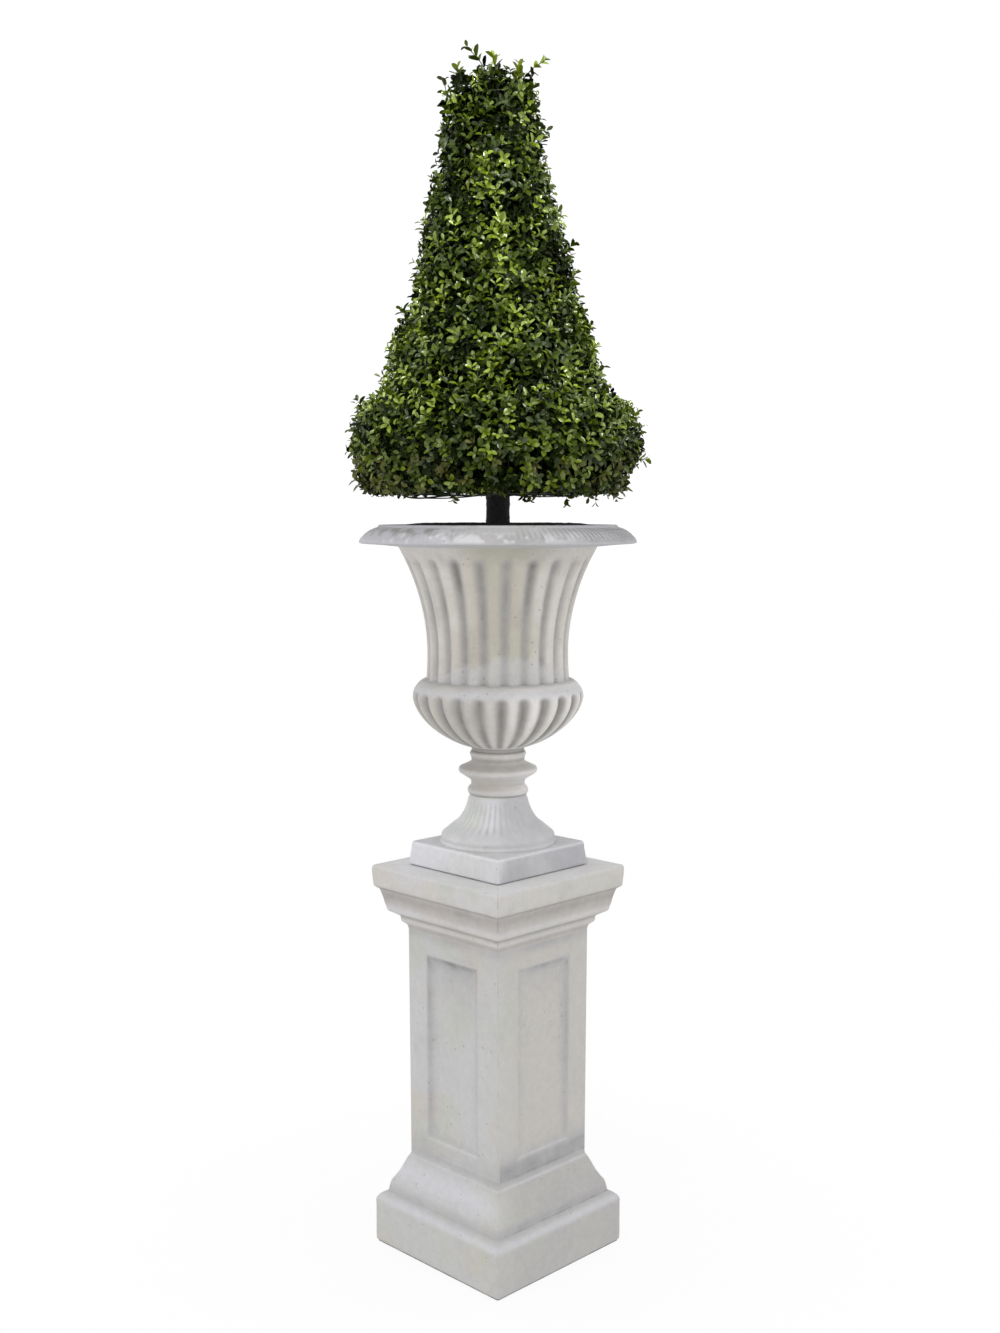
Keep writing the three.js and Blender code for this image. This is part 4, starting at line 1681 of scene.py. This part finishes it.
@dataclass
class Leaves:
    """Many leaves as arrays with one row for each.

    Attributes:
        place: Where the leaf is joined to its stalk.
        axis: Direction from base to tip.
        face: Direction that its upper side looks in.
        length: Its length.
        width: Its width as a share of the usual width.
        curl: How far its tip bends back.
        tint: Which green it has.
        spray: Which spray it belongs to.
    """

    place: Array
    axis: Array
    face: Array
    length: Array
    width: Array
    curl: Array
    tint: Array
    spray: Array

    def only(self, keep: Array) -> "Leaves":
        """The leaves that a mask keeps."""
        return Leaves(*[getattr(self, key)[keep] for key in self.__dataclass_fields__])

    @classmethod
    def together(cls, many: list["Leaves"]) -> "Leaves":
        """Several lots of leaves as one."""
        return cls(*[np.concatenate([getattr(lot, key) for lot in many]) for key in cls.__dataclass_fields__])

    def build(self, name: str, greens: list[Material], node: str) -> None:
        """Makes the leaves as one piece.

        A template point x, y, z goes to the leaf's place plus y lengths along its axis, x lengths along its
        width and z less curl times y squared lengths along its face.

        Args:
            name: Name of the piece.
            greens: Materials by number of the tint.
            node: The node that it replaces.
        """
        form = LeafShape()
        face = unit(self.face - (self.face * self.axis).sum(axis=1, keepdims=True) * self.axis)
        side = np.cross(self.axis, face)
        x, y, z = form.points().T
        deep = z - self.curl[:, None] * y**2
        points = self.place[:, None] + self.length[:, None, None] * (
            self.axis[:, None] * y[:, None]
            + side[:, None] * (x * self.width[:, None])[..., None]
            + face[:, None] * deep[..., None]
        )
        first = (np.arange(len(self.place)) * len(x))[:, None, None]
        blocks = [(first + block).reshape(-1, block.shape[1]) for block in form.faces()]
        paint = np.concatenate([np.repeat(self.tint, len(block)) for block in form.faces()])
        made(name, Shape(points.reshape(-1, 3), blocks), greens, [node], paint, SMOOTH)


@dataclass(frozen=True)
class SprayKind:
    """How a kind of spray grows.

    Attributes:
        pairs: Number of leaf pairs.
        bare: Share of the stalk below the first pair.
        leaf: Length of its largest leaves.
        low: Angle between stalk and leaves at the foot, in degrees.
        high: The same at the tip.
        count: How many are scattered over the crown.
        depth: Depth of their tips below the crown's face.
        deep: Whether they lie in the shade inside the crown.
        first: Plan angle of the first one, in radians.
        free: Share of the face, from the underside's middle, that they leave free.
        stalk: Length of the stalk.
        vary: Share by which that length varies.
        upward: Pull upwards, as a share of the pull along the crown's normal.
        stray: Random pull, as such a share.
    """

    pairs: int
    bare: float
    leaf: float = 23.5
    low: float = 80.0
    high: float = 50.0
    count: int = 0
    depth: float = 0.0
    deep: bool = False
    first: float = 0.0
    free: float = 0.0
    stalk: float = 46.0
    vary: float = 0.16
    upward: float = 0.35
    stray: float = 0.45


@dataclass(frozen=True)
class Chance:
    """How leaves vary: standard deviations as shares or in radians, and the share that is left out."""

    along: float = 0.018
    quarter: float = 0.16
    turn: float = 0.12
    off: float = 0.17
    face: float = 0.22
    length: float = 0.09
    width: float = 0.08
    curl: float = 0.09
    missing: float = 0.05


@dataclass(frozen=True)
class Sprig:
    """One loose sprig above the top.

    Attributes:
        node: The node that its leaves stand for.
        line: Foot, bend and tip, each as distance to the right, to the rear and height.
        pairs: Number of leaf pairs.
        leaf: Length of its leaves.
        young: Green of its young leaves.
        old: Green of the older ones.
    """

    node: str
    line: tuple[Colour, Colour, Colour]
    pairs: int
    leaf: float
    young: Tint
    old: Tint


def placed(spots: tuple[Colour, ...]) -> Array:
    """Points from distances to the right and to the rear as seen from the front, and heights."""
    return np.array([RIGHT * right + REAR * rear + UP * height for right, rear, height in spots])


def bent(a: Array, b: Array, c: Array, t: Array) -> Array:
    """Points on the parabola from a to c that b pulls towards itself, for many lines and shares at once."""
    s = t[..., None]
    return (1 - s) ** 2 * a[:, None] + 2 * s * (1 - s) * b[:, None] + s**2 * c[:, None]


def shares(count: int, stations: int, start: float = 0.0, end: float = 1.0) -> Array:
    """Even shares from start to end, the same for each of many lines."""
    return np.broadcast_to(np.linspace(start, end, stations), (count, stations))


@dataclass
class Foliage:
    """Boughs, twigs, stalks and leaves, grown by a seeded rule from the pole to the crown's face.

    Boughs leave the pole one golden turn apart and reach to a set depth below the crown's face. Every spray
    has its tip a set depth below the face, again one golden turn apart, and a twig joins its foot to the
    nearest bough. A spray bears leaves in opposite pairs, each pair a quarter turn from the one before.

    Attributes:
        crown: The crown that the sprays cover.
        pole: The pole that the boughs leave.
        seed: Seed of all random draws.
        bough_count: Number of boughs.
        kinds: The sprays that cover the crown: outer ones, inner ones and strays.
        hanging: How the sprays below the hoop grow.
        hanging_tips: Their tips, as distance to the right, to the rear and height.
        sprigs: The loose sprigs above the top.
        greens: The greens of the leaves, in order of their tints.
        fair: Share of each green, in the same order, among the young leaves of sprays.
        fair_old: The same among their older leaves.
        dim: The same among the young leaves of deep sprays, mostly dark and near-black greens as painted
            shade.
        dim_old: The same among their older leaves.
        zones: Nodes of the crown with the heights where each one starts and ends.
        under: Height that parts the skirt's leaves into two pieces.
        chance: How leaves differ.
        last_pair: Share of the stalk at which the last pair stands.
        young_from: Share of the stalk from which leaves are young.
        skyward: Pull of the leaves' faces upwards.
        curl: How far the tips of leaves bend back, as a share of their length.
        bough_depth: Greatest depth of the boughs' tips below the crown's face.
        bough_heights: Heights that these tips stay between.
        looseness: Heights, and how loosely the sprays stand at each.
        thinning: Heights near the top, and the share of sprays left out at each.
        aged: Greatest chance that a spray low on the crown has turned olive.
    """

    crown: ClippedCone
    pole: Pole
    seed: int = 29
    bough_count: int = 170
    kinds: tuple[SprayKind, ...] = (
        SprayKind(5, 0.14, leaf=21.8, count=3000, depth=7.0),
        SprayKind(5, 0.10, count=2000, depth=46.0, deep=True, first=1.0, free=0.02,
                  vary=0.2, upward=0.2, stray=0.7),
        SprayKind(6, 0.34, high=42.0, count=130, depth=-9.0, first=2.0, free=0.12,
                  stalk=74.0, vary=0.15, upward=0.6, stray=0.35),
    )
    hanging: SprayKind = SprayKind(4, 0.3, leaf=21.0)
    hanging_tips: tuple[Colour, ...] = (
        (-92.0, -170.0, 1668.0), (66.0, -150.0, 1668.0), (76.0, -146.0, 1672.0), (144.0, -110.0, 1662.0),
        (208.0, -60.0, 1664.0), (254.0, -20.0, 1668.0),
    )
    sprigs: tuple[Sprig, ...] = (
        Sprig("sprig_tall", ((2.0, -20.0, 2505.0), (-22.0, -12.0, 2574.0), (-64.0, 4.0, 2616.0)),
              7, 26.0, Tint.MIDDLE, Tint.DEEP),
        Sprig("sprig_short", ((30.0, 0.0, 2515.0), (56.0, 6.0, 2568.0), (100.0, 0.0, 2589.0)),
              6, 25.0, Tint.BRIGHT, Tint.DARK),
        Sprig("sprig_tall", ((4.0, -24.0, 2515.0), (-4.0, -26.0, 2560.0), (-8.0, -30.0, 2588.0)),
              6, 28.0, Tint.BRIGHT, Tint.DARK),
        Sprig("sprig_short", ((26.0, 0.0, 2500.0), (40.0, 0.0, 2550.0), (45.0, 6.0, 2583.0)),
              7, 26.0, Tint.BRIGHT, Tint.DARK),
        Sprig("sprig_short", ((50.0, -10.0, 2470.0), (64.0, -6.0, 2520.0), (71.0, -4.0, 2556.0)),
              6, 24.0, Tint.DARK, Tint.DARK),
        Sprig("sprig_tall", ((-66.0, -20.0, 2490.0), (-82.0, -16.0, 2540.0), (-84.0, -10.0, 2570.0)),
              6, 25.0, Tint.BRIGHT, Tint.DARK),
        Sprig("sprig_tall", ((-86.0, -14.0, 2450.0), (-108.0, -8.0, 2505.0), (-113.0, 0.0, 2546.0)),
              6, 24.0, Tint.MIDDLE, Tint.DEEP),
    )
    greens: tuple[LeafGloss, ...] = (
        LeafGloss(Tint.BRIGHT, (0.148, 0.203, 0.011), 0.21, 0.58),
        LeafGloss(Tint.FRESH, (0.086, 0.123, 0.007), 0.21, 0.46),
        LeafGloss(Tint.MIDDLE, (0.037, 0.059, 0.003), 0.23, 0.17),
        LeafGloss(Tint.GREY, (0.038, 0.057, 0.014), 0.20, 0.36),
        LeafGloss(Tint.DARK, (0.0062, 0.0108, 0.0012), 0.24, 0.06),
        LeafGloss(Tint.DEEP, (0.0010, 0.0018, 0.0005), 0.50, 0.01),
        LeafGloss(Tint.OLIVE, (0.076, 0.081, 0.014), 0.28, 0.22),
    )
    fair: tuple[float, ...] = (0.17, 0.27, 0.26, 0.11, 0.19)
    fair_old: tuple[float, ...] = (0.0, 0.07, 0.27, 0.10, 0.56)
    dim: tuple[float, ...] = (0.0, 0.0, 0.06, 0.0, 0.30, 0.64)
    dim_old: tuple[float, ...] = (0.0, 0.0, 0.0, 0.0, 0.1, 0.9)
    zones: tuple[tuple[str, float, float], ...] = (
        ("foliage_skirt", 0.0, 1888.0),
        ("foliage_lower", 1888.0, 2072.0),
        ("foliage_middle", 2072.0, 2262.0),
        ("foliage_upper", 2262.0, 2428.0),
        ("foliage_top", 2428.0, 9999.0),
    )
    under: float = 1742.0
    chance: Chance = Chance()
    last_pair: float = 0.985
    young_from: float = 0.58
    skyward: float = 0.22
    curl: float = 0.15
    bough_depth: float = 105.0
    bough_heights: Pair = (1712.0, 2520.0)
    looseness: tuple[Corner, Corner] = ((1700.0, 2300.0, 2560.0), (0.8, 1.0, 1.9))
    thinning: tuple[Corner, Corner] = ((2470.0, 2520.0, 2568.0), (0.0, 0.22, 0.42))
    aged: float = 0.70

    def __post_init__(self) -> None:
        """Starts the seeded numbers and the lists of what has grown."""
        self.rng = np.random.default_rng(self.seed)
        self.leaves: list[Leaves] = []
        self.stalks: list[tuple[Array, Array]] = []
        self.feet: list[tuple[Array, Array]] = []
        self.grown = 0

    def boughs(self) -> Shape:
        """Boughs from the pole to tips below the crown's face, rising as they go out.

        Returns:
            The shape.
        """
        count = self.bough_count
        order = np.arange(count)
        face, normal = self.crown.on_surface((order + 0.5) / count, order * GOLDEN_TURN)
        depth = np.minimum(self.bough_depth, 0.55 * np.hypot(face[:, 0], face[:, 1]) + 8.0)
        tip = face - normal * depth[:, None]
        tip[:, 2] = np.clip(tip[:, 2], *self.bough_heights)
        reach = np.hypot(tip[:, 0], tip[:, 1])
        low = np.clip(tip[:, 2] - (18.0 + 0.28 * reach), 1700.0, self.pole.top - 6.0)
        root = polar(self.pole.radius_at(low) - 3.0, np.arctan2(tip[:, 1], tip[:, 0]), low)
        pull = mixed(root, tip, 0.55) - UP * (0.10 * reach)[:, None]
        t = shares(count, 8)
        lines = bent(root, pull, tip, t)
        self.bough_points = lines[:, 4:].reshape(-1, 3)
        return tubes(lines, mixed(3.4, 1.5, t) * (0.6 + 0.4 * np.minimum(reach / 120.0, 1.0))[:, None], 6)

    def deal(self, count: int, greens: tuple[float, ...], push: Array) -> Array:
        """Numbers of the greens dealt to sprays by their shares, brighter ones where the push is strong."""
        score = np.argsort(np.argsort(-(push + self.rng.normal(0.0, 0.62, count)))) / count
        return np.minimum(np.searchsorted(np.cumsum(greens), score, side="right"), len(greens) - 1)

    def spread(self, line: tuple[Array, Array, Array], kind: SprayKind, young: Array, old: Array) -> None:
        """Grows sprays along bent stalks and keeps their leaves and stalks.

        At share t of the stalk a leaf stands off it by an angle that goes from low to high. Successive pairs
        turn by a quarter. Leaves grow from nine tenths of full size at the foot to full size and shrink to
        two thirds at the tip.

        Args:
            line: Foot, bend and tip of each stalk.
            kind: The kind of spray.
            young: Green of the young leaves of each spray, near its tip.
            old: Green of its older leaves.
        """
        foot, pull, tip = line
        rng, count, pairs = self.rng, len(foot), kind.pairs
        chance = self.chance
        t = shares(count, pairs, kind.bare, self.last_pair)
        t = np.clip(t + rng.normal(0.0, chance.along, t.shape), 0.0, 1.0)
        node = bent(foot, pull, tip, t)
        s = t[..., None]
        heading = unit((1 - s) * (pull - foot)[:, None] + s * (tip - pull)[:, None])
        u, v = square_to(heading, unit(rng.normal(size=(count, 1, 3))))
        quarter = np.arange(pairs) * (math.pi / 2.0) + rng.uniform(0.0, TURN, (count, 1))
        quarter = quarter + rng.normal(0.0, chance.quarter, (count, pairs))
        shape = (count, pairs, 2)
        turn = np.stack([quarter, quarter + math.pi], axis=-1) + rng.normal(0.0, chance.turn, shape)
        off = np.radians(mixed(kind.low, kind.high, t**1.3))[..., None]
        off = off + rng.normal(0.0, chance.off, shape)
        side = swung(u, v, turn)
        axis = unit(heading[:, :, None] * np.cos(off)[..., None] + side * np.sin(off)[..., None])
        face = heading[:, :, None] * np.sin(off)[..., None] - side * np.cos(off)[..., None]
        face = unit(face + rng.normal(0.0, chance.face, face.shape) + UP * self.skyward)
        grow = np.interp(t, [0.0, 0.45, 0.8, 1.0], [0.9, 1.0, 0.95, 0.66])[..., None]
        length = kind.leaf * grow * rng.normal(1.0, chance.length, shape)
        tint = np.where(s > self.young_from, young[:, None, None], old[:, None, None])
        keep = rng.random(turn.size) > chance.missing
        grown = Leaves(
            place=np.broadcast_to(node[:, :, None], (*shape, 3)).reshape(-1, 3),
            axis=axis.reshape(-1, 3),
            face=face.reshape(-1, 3),
            length=length.ravel(),
            width=rng.normal(1.0, chance.width, shape).ravel(),
            curl=rng.normal(self.curl, chance.curl, shape).ravel(),
            tint=np.broadcast_to(tint, shape).ravel(),
            spray=np.broadcast_to((self.grown + np.arange(count))[:, None, None], shape).ravel(),
        )
        self.leaves.append(grown.only(keep))
        self.grown += count
        along = shares(count, 4)
        self.stalks.append((bent(foot, pull, tip, along), mixed(1.15, 0.55, along)))

    def glow(self, face: Array, angles: Array, beneath: Array) -> Array:
        """How strongly each place on the crown is pushed towards the bright greens.

        It is noise in two sizes, a little more low down, and painted light: more on a stripe at the front and
        towards both sides, and less beneath as painted shade.

        Args:
            face: The places.
            angles: Angle from the front of each place.
            beneath: How much each place looks down, from 0 to 1.

        Returns:
            The push.
        """
        push = 0.55 * lattice_noise(face, 55.0, 41) + 0.6 * lattice_noise(face, 24.0, 42) - 0.5 * beneath
        push = push + 0.3 * bell(angles, 0.0, 0.32) + 0.14 * eased((1790.0 - face[:, 2]) / 70.0)
        return push + 0.62 * np.sin(angles) ** 2 * eased((2250.0 - face[:, 2]) / 250.0)

    def scatter(self, kind: SprayKind) -> None:
        """Grows sprays of one kind all over the crown.

        Args:
            kind: The kind.
        """
        rng, count = self.rng, kind.count
        order = np.arange(count)
        share = kind.free + (1.0 - kind.free) * (order + rng.uniform(0.2, 0.8, count)) / count
        angles = kind.first + order * GOLDEN_TURN + rng.normal(0.0, 0.02, count)
        face, normal = self.crown.on_surface(share, angles)
        height = face[:, 2]
        loose = np.interp(height, *self.looseness)
        beneath = np.clip(-normal[:, 2], 0.0, 1.0)
        lift = kind.upward * (1.0 - beneath) - 0.1 * beneath
        random_pull = kind.stray * rng.normal(0.0, 0.55, (count, 3)) * loose[:, None]
        pull = unit(normal + UP * lift[:, None] + random_pull)
        length = (kind.stalk * rng.normal(1.0, kind.vary, count))[:, None]
        tip = face - normal * (kind.depth + 6.0 - rng.normal(0.0, 4.0, count) * loose)[:, None]
        foot = tip - pull * length
        middle = mixed(foot, tip, 0.5) + rng.normal(0.0, 0.10, (count, 3)) * length
        from_front = aside(angles, FRONT)
        push = self.glow(face, from_front, beneath)
        thin = np.interp(height, *self.thinning) + 0.30 * eased(beneath / 0.9)
        kept = rng.random(count) > thin * (1.3 if kind.deep else 1.0)
        # Deep sprays take mostly near-black greens, painted shade inside the crown.
        young = self.deal(count, self.dim if kind.deep else self.fair, push)
        old = self.deal(count, self.dim_old if kind.deep else self.fair_old, push)
        if not kind.deep:
            chance = self.aged * (0.35 + 0.65 * np.sin(from_front) ** 2) * eased((1800.0 - height) / 90.0)
            aged = (rng.random(count) < chance) & (young != Tint.DARK.value)
            young = np.where(aged, Tint.OLIVE.value, young)
        self.feet.append((foot[kept], pull[kept]))
        self.spread((foot[kept], middle[kept], tip[kept]), kind, young[kept], old[kept])

    def droop(self) -> None:
        """Grows the short sprays that hang below the hoop, each from a foot above and inside its tip."""
        tip = placed(self.hanging_tips)
        inwards = -unit(tip * np.array([1.0, 1.0, 0.0]))
        foot = tip + inwards * 14.0 + UP * 38.0
        middle = mixed(foot, tip, 0.5) - inwards * 8.0
        young, old = (np.full(len(tip), tint.value) for tint in (Tint.FRESH, Tint.MIDDLE))
        self.feet.append((foot, tip - foot))
        self.spread((foot, middle, tip), self.hanging, young, old)

    def twigs(self) -> Shape:
        """Twigs from the boughs to the feet of the sprays, each to the nearest point of a bough.

        Returns:
            The shape.
        """
        foot, aim = (np.concatenate(parts) for parts in zip(*self.feet, strict=True))
        near = np.empty(len(foot), dtype=int)
        for block in np.array_split(np.arange(len(foot)), 12):
            gap = np.linalg.norm(foot[block, None] - self.bough_points[None], axis=2)
            near[block] = gap.argmin(axis=1)
        root = self.bough_points[near]
        pull = foot - aim * (0.45 * np.linalg.norm(foot - root, axis=1))[:, None]
        t = shares(len(foot), 5)
        return tubes(bent(root, pull, foot, t), mixed(1.5, 1.1, t), 3)

    def sprig(self, sprig: Sprig) -> Leaves:
        """Grows one loose sprig, on a stouter stalk, and gives its leaves.

        Args:
            sprig: How it grows.

        Returns:
            Its leaves.
        """
        foot, bend, tip = placed(sprig.line)[:, None]
        kind = SprayKind(sprig.pairs, 0.30, leaf=sprig.leaf, low=62.0, high=38.0)
        self.spread((foot, bend, tip), kind, np.array([sprig.young.value]), np.array([sprig.old.value]))
        lines, radii = self.stalks.pop()
        self.stalks.append((lines, radii * 1.7))
        return self.leaves.pop()

    def build(self) -> None:
        """Makes boughs, twigs and leaves, the leaves by zone of the crown."""
        greens = [green.material() for green in self.greens]
        bark = Rough("twig_green", (0.008, 0.010, 0.004), (0.03, 0.04, 0.012), 300.0, 0.0005, 0.55)
        wood = [bark.material()]
        boughs = self.boughs()
        for kind in self.kinds:
            self.scatter(kind)
        self.droop()
        loose = [(sprig.node, self.sprig(sprig)) for sprig in self.sprigs]
        leaves = Leaves.together(self.leaves)
        home = np.concatenate([foot for foot, _ in self.feet])[leaves.spray, 2]
        low_down = leaves.place[:, 2] < self.under
        for node, low, high in self.zones:
            inside = (home >= low) & (home < high)
            parts = {"": inside}
            if node == "foliage_skirt":
                parts = {"_under": inside & low_down, "_side": inside & ~low_down}
            for ending, keep in parts.items():
                leaves.only(keep).build(f"{node}_leaves{ending}", greens, node)
        stalks = joined([tubes(lines, radii, 3) for lines, radii in self.stalks])
        for name, shape, node in (
            ("boughs", boughs, "foliage_skirt"),
            ("twigs", self.twigs(), "foliage_lower"),
            ("stalks", stalks, "foliage_middle"),
        ):
            made(name, shape, wood, [node], crease=SMOOTH)
        for node in ("sprig_tall", "sprig_short"):
            lots = Leaves.together([lot for name, lot in loose if name == node])
            lots.build(f"{node}_leaves", greens, node)


# --- studio


@dataclass
class Studio:
    """Pale floor, soft white surroundings, soft lamps and the camera.

    Attributes:
        eye: Place of the camera in metres.
        pitch: How far it looks down, in degrees.
        heading: Its plan angle, in degrees.
        lens: Its lens in millimetres on a 36 mm sensor.
        floor_radius: Radius of the floor in millimetres.
        floor_drop: How far the floor lies under height 0, clear of the pedestal's underside.
        spot_cone: Width of the cones that light the crown alone, in degrees.
        spot_aim: Height in metres that they look at.
    """

    eye: Colour = (2.3682, -2.3618, 1.643)
    pitch: float = 5.73
    heading: float = 45.0
    lens: float = 41.56
    floor_radius: float = 30000.0
    floor_drop: float = 0.2
    spot_cone: float = 22.0
    spot_aim: float = 2.17

    def camera(self) -> None:
        """Makes the camera."""
        lens = bpy.data.cameras.new("camera")
        lens.lens = self.lens
        lens.sensor_width = 36.0
        lens.clip_end = 100.0
        camera = linked("camera", lens)
        camera.location = self.eye
        camera.rotation_euler = Euler((math.radians(90.0 - self.pitch), 0.0, math.radians(self.heading)))
        bpy.context.scene.camera = camera

    def lamp(self, name: str, kind: str, place: Colour, aim: float, power: float, **form: object) -> None:
        """Makes one lamp.

        Args:
            name: Its name.
            kind: Its type.
            place: Where it hangs, in metres.
            aim: Height on the axis that it looks at, in metres.
            power: Its power in watts.
            form: Its other properties.
        """
        light = bpy.data.lights.new(name, kind)
        for key, value in {"energy": power, **form}.items():
            setattr(light, key, value)
        lamp = linked(name, light)
        lamp.location = place
        lamp.rotation_euler = (Vector((0.0, 0.0, aim)) - Vector(place)).to_track_quat("-Z", "Y").to_euler()

    def floor(self) -> None:
        """A pale disc that turns into plain white away from the object."""
        radii = self.floor_radius * np.linspace(1.0, 0.01, 24) ** 2
        grid = turned(np.stack([radii, np.full(len(radii), -self.floor_drop)], axis=1), circle(96))
        rows, columns = grid.shape[:2]
        inner = fan(rows * columns, np.arange(columns) + (rows - 1) * columns)
        points = np.concatenate([grid.reshape(-1, 3), [[0.0, 0.0, -self.floor_drop]]])
        mesh = meshed("floor", Shape(points, [woven(rows, columns), inner]), [self.paper()])
        mesh.update(calc_edges=True)
        mesh.shade_flat()
        floor = linked("floor", mesh)

    def paper(self) -> Material:
        """White paper that is lit near the object and plain white further out.

        Returns:
            The material.
        """
        g = Graph(bpy.data.materials.new("floor_paper"))
        far = g.node("ShaderNodeVectorMath", {0: g.place}, "Value", operation="LENGTH")
        g.dress(g.grey(g.graded(g.noise(60.0), 0.3, 0.7, 0.90, 0.93)), 0.9)
        glow = g.node("ShaderNodeEmission", {"Color": WHITE, "Strength": 1.0})
        share = g.graded(far, 0.2, 1.4, 0.86, 1.0)
        both = g.node("ShaderNodeMixShader", {0: share, 1: g.shader.outputs["BSDF"], 2: glow})
        g.feed(g.tree.nodes["Material Output"].inputs["Surface"], both)
        return g.owner

    def surroundings(self) -> None:
        """White surroundings, brighter to both sides of the view, and plain white where they show."""
        g = Graph(bpy.data.worlds.new("surroundings"), "Generated")
        bpy.context.scene.world = g.owner
        rise = g.node("ShaderNodeSeparateXYZ", {0: g.place}, "Z")
        rise = g.graded(rise, -1.0, 1.0, 0.80, 0.88, soft=False)
        feeds = {0: g.place, 1: tuple(RIGHT)}
        sideways = g.node("ShaderNodeVectorMath", feeds, "Value", operation="DOT_PRODUCT")
        square = g.sum("POWER", g.sum("ABSOLUTE", sideways, 0.0), 2.0)
        strength = g.node("ShaderNodeMath", {0: square, 1: 0.24, 2: rise}, operation="MULTIPLY_ADD")
        light = g.node("ShaderNodeBackground", {"Color": WHITE, "Strength": strength})
        shown = g.tree.nodes["Background"]
        g.feed(shown.inputs["Color"], WHITE)
        g.feed(shown.inputs["Strength"], 1.05)
        seen = g.node("ShaderNodeLightPath", {}, "Is Camera Ray")
        both = g.node("ShaderNodeMixShader", {0: seen, 1: light, 2: shown.outputs["Background"]})
        g.feed(g.tree.nodes["World Output"].inputs["Surface"], both)

    def build(self) -> None:
        """Makes the whole studio."""
        scene = bpy.context.scene
        scene.view_settings.view_transform = "Standard"
        scene.view_settings.look = "None"
        self.camera()
        self.surroundings()
        self.floor()
        self.lamp("lamp_front", "AREA", (2.35, -2.75, 2.75), 1.5, 24.0, shape="SQUARE", size=0.7)
        self.lamp("lamp_top", "AREA", (0.7, -1.3, 4.3), 2.2, 13.0, shape="SQUARE", size=0.4)
        form = {"spot_size": math.radians(self.spot_cone), "spot_blend": 0.5, "shadow_soft_size": 0.09}
        self.lamp("spot_left", "SPOT", (-0.49, -2.30, 4.0), self.spot_aim, 300.0, **form)
        self.lamp("spot_right", "SPOT", (2.30, 0.49, 4.0), self.spot_aim, 350.0, **form)
        self.lamp("spot_back", "SPOT", (-1.66, 1.66, 4.0), self.spot_aim, 260.0, **form)


def main() -> None:
    """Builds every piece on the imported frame."""
    logging.basicConfig(level=logging.INFO, format="%(message)s")
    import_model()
    studio = Studio()
    studio.build()
    urn = Urn()
    pole = Pole()
    crown = ClippedCone()
    Pedestal().build()
    urn.build()
    Fill().build(urn)
    pole.build()
    Cage().build(crown, pole)
    Foliage(crown, pole).build()


if __name__ == "__main__":
    main()
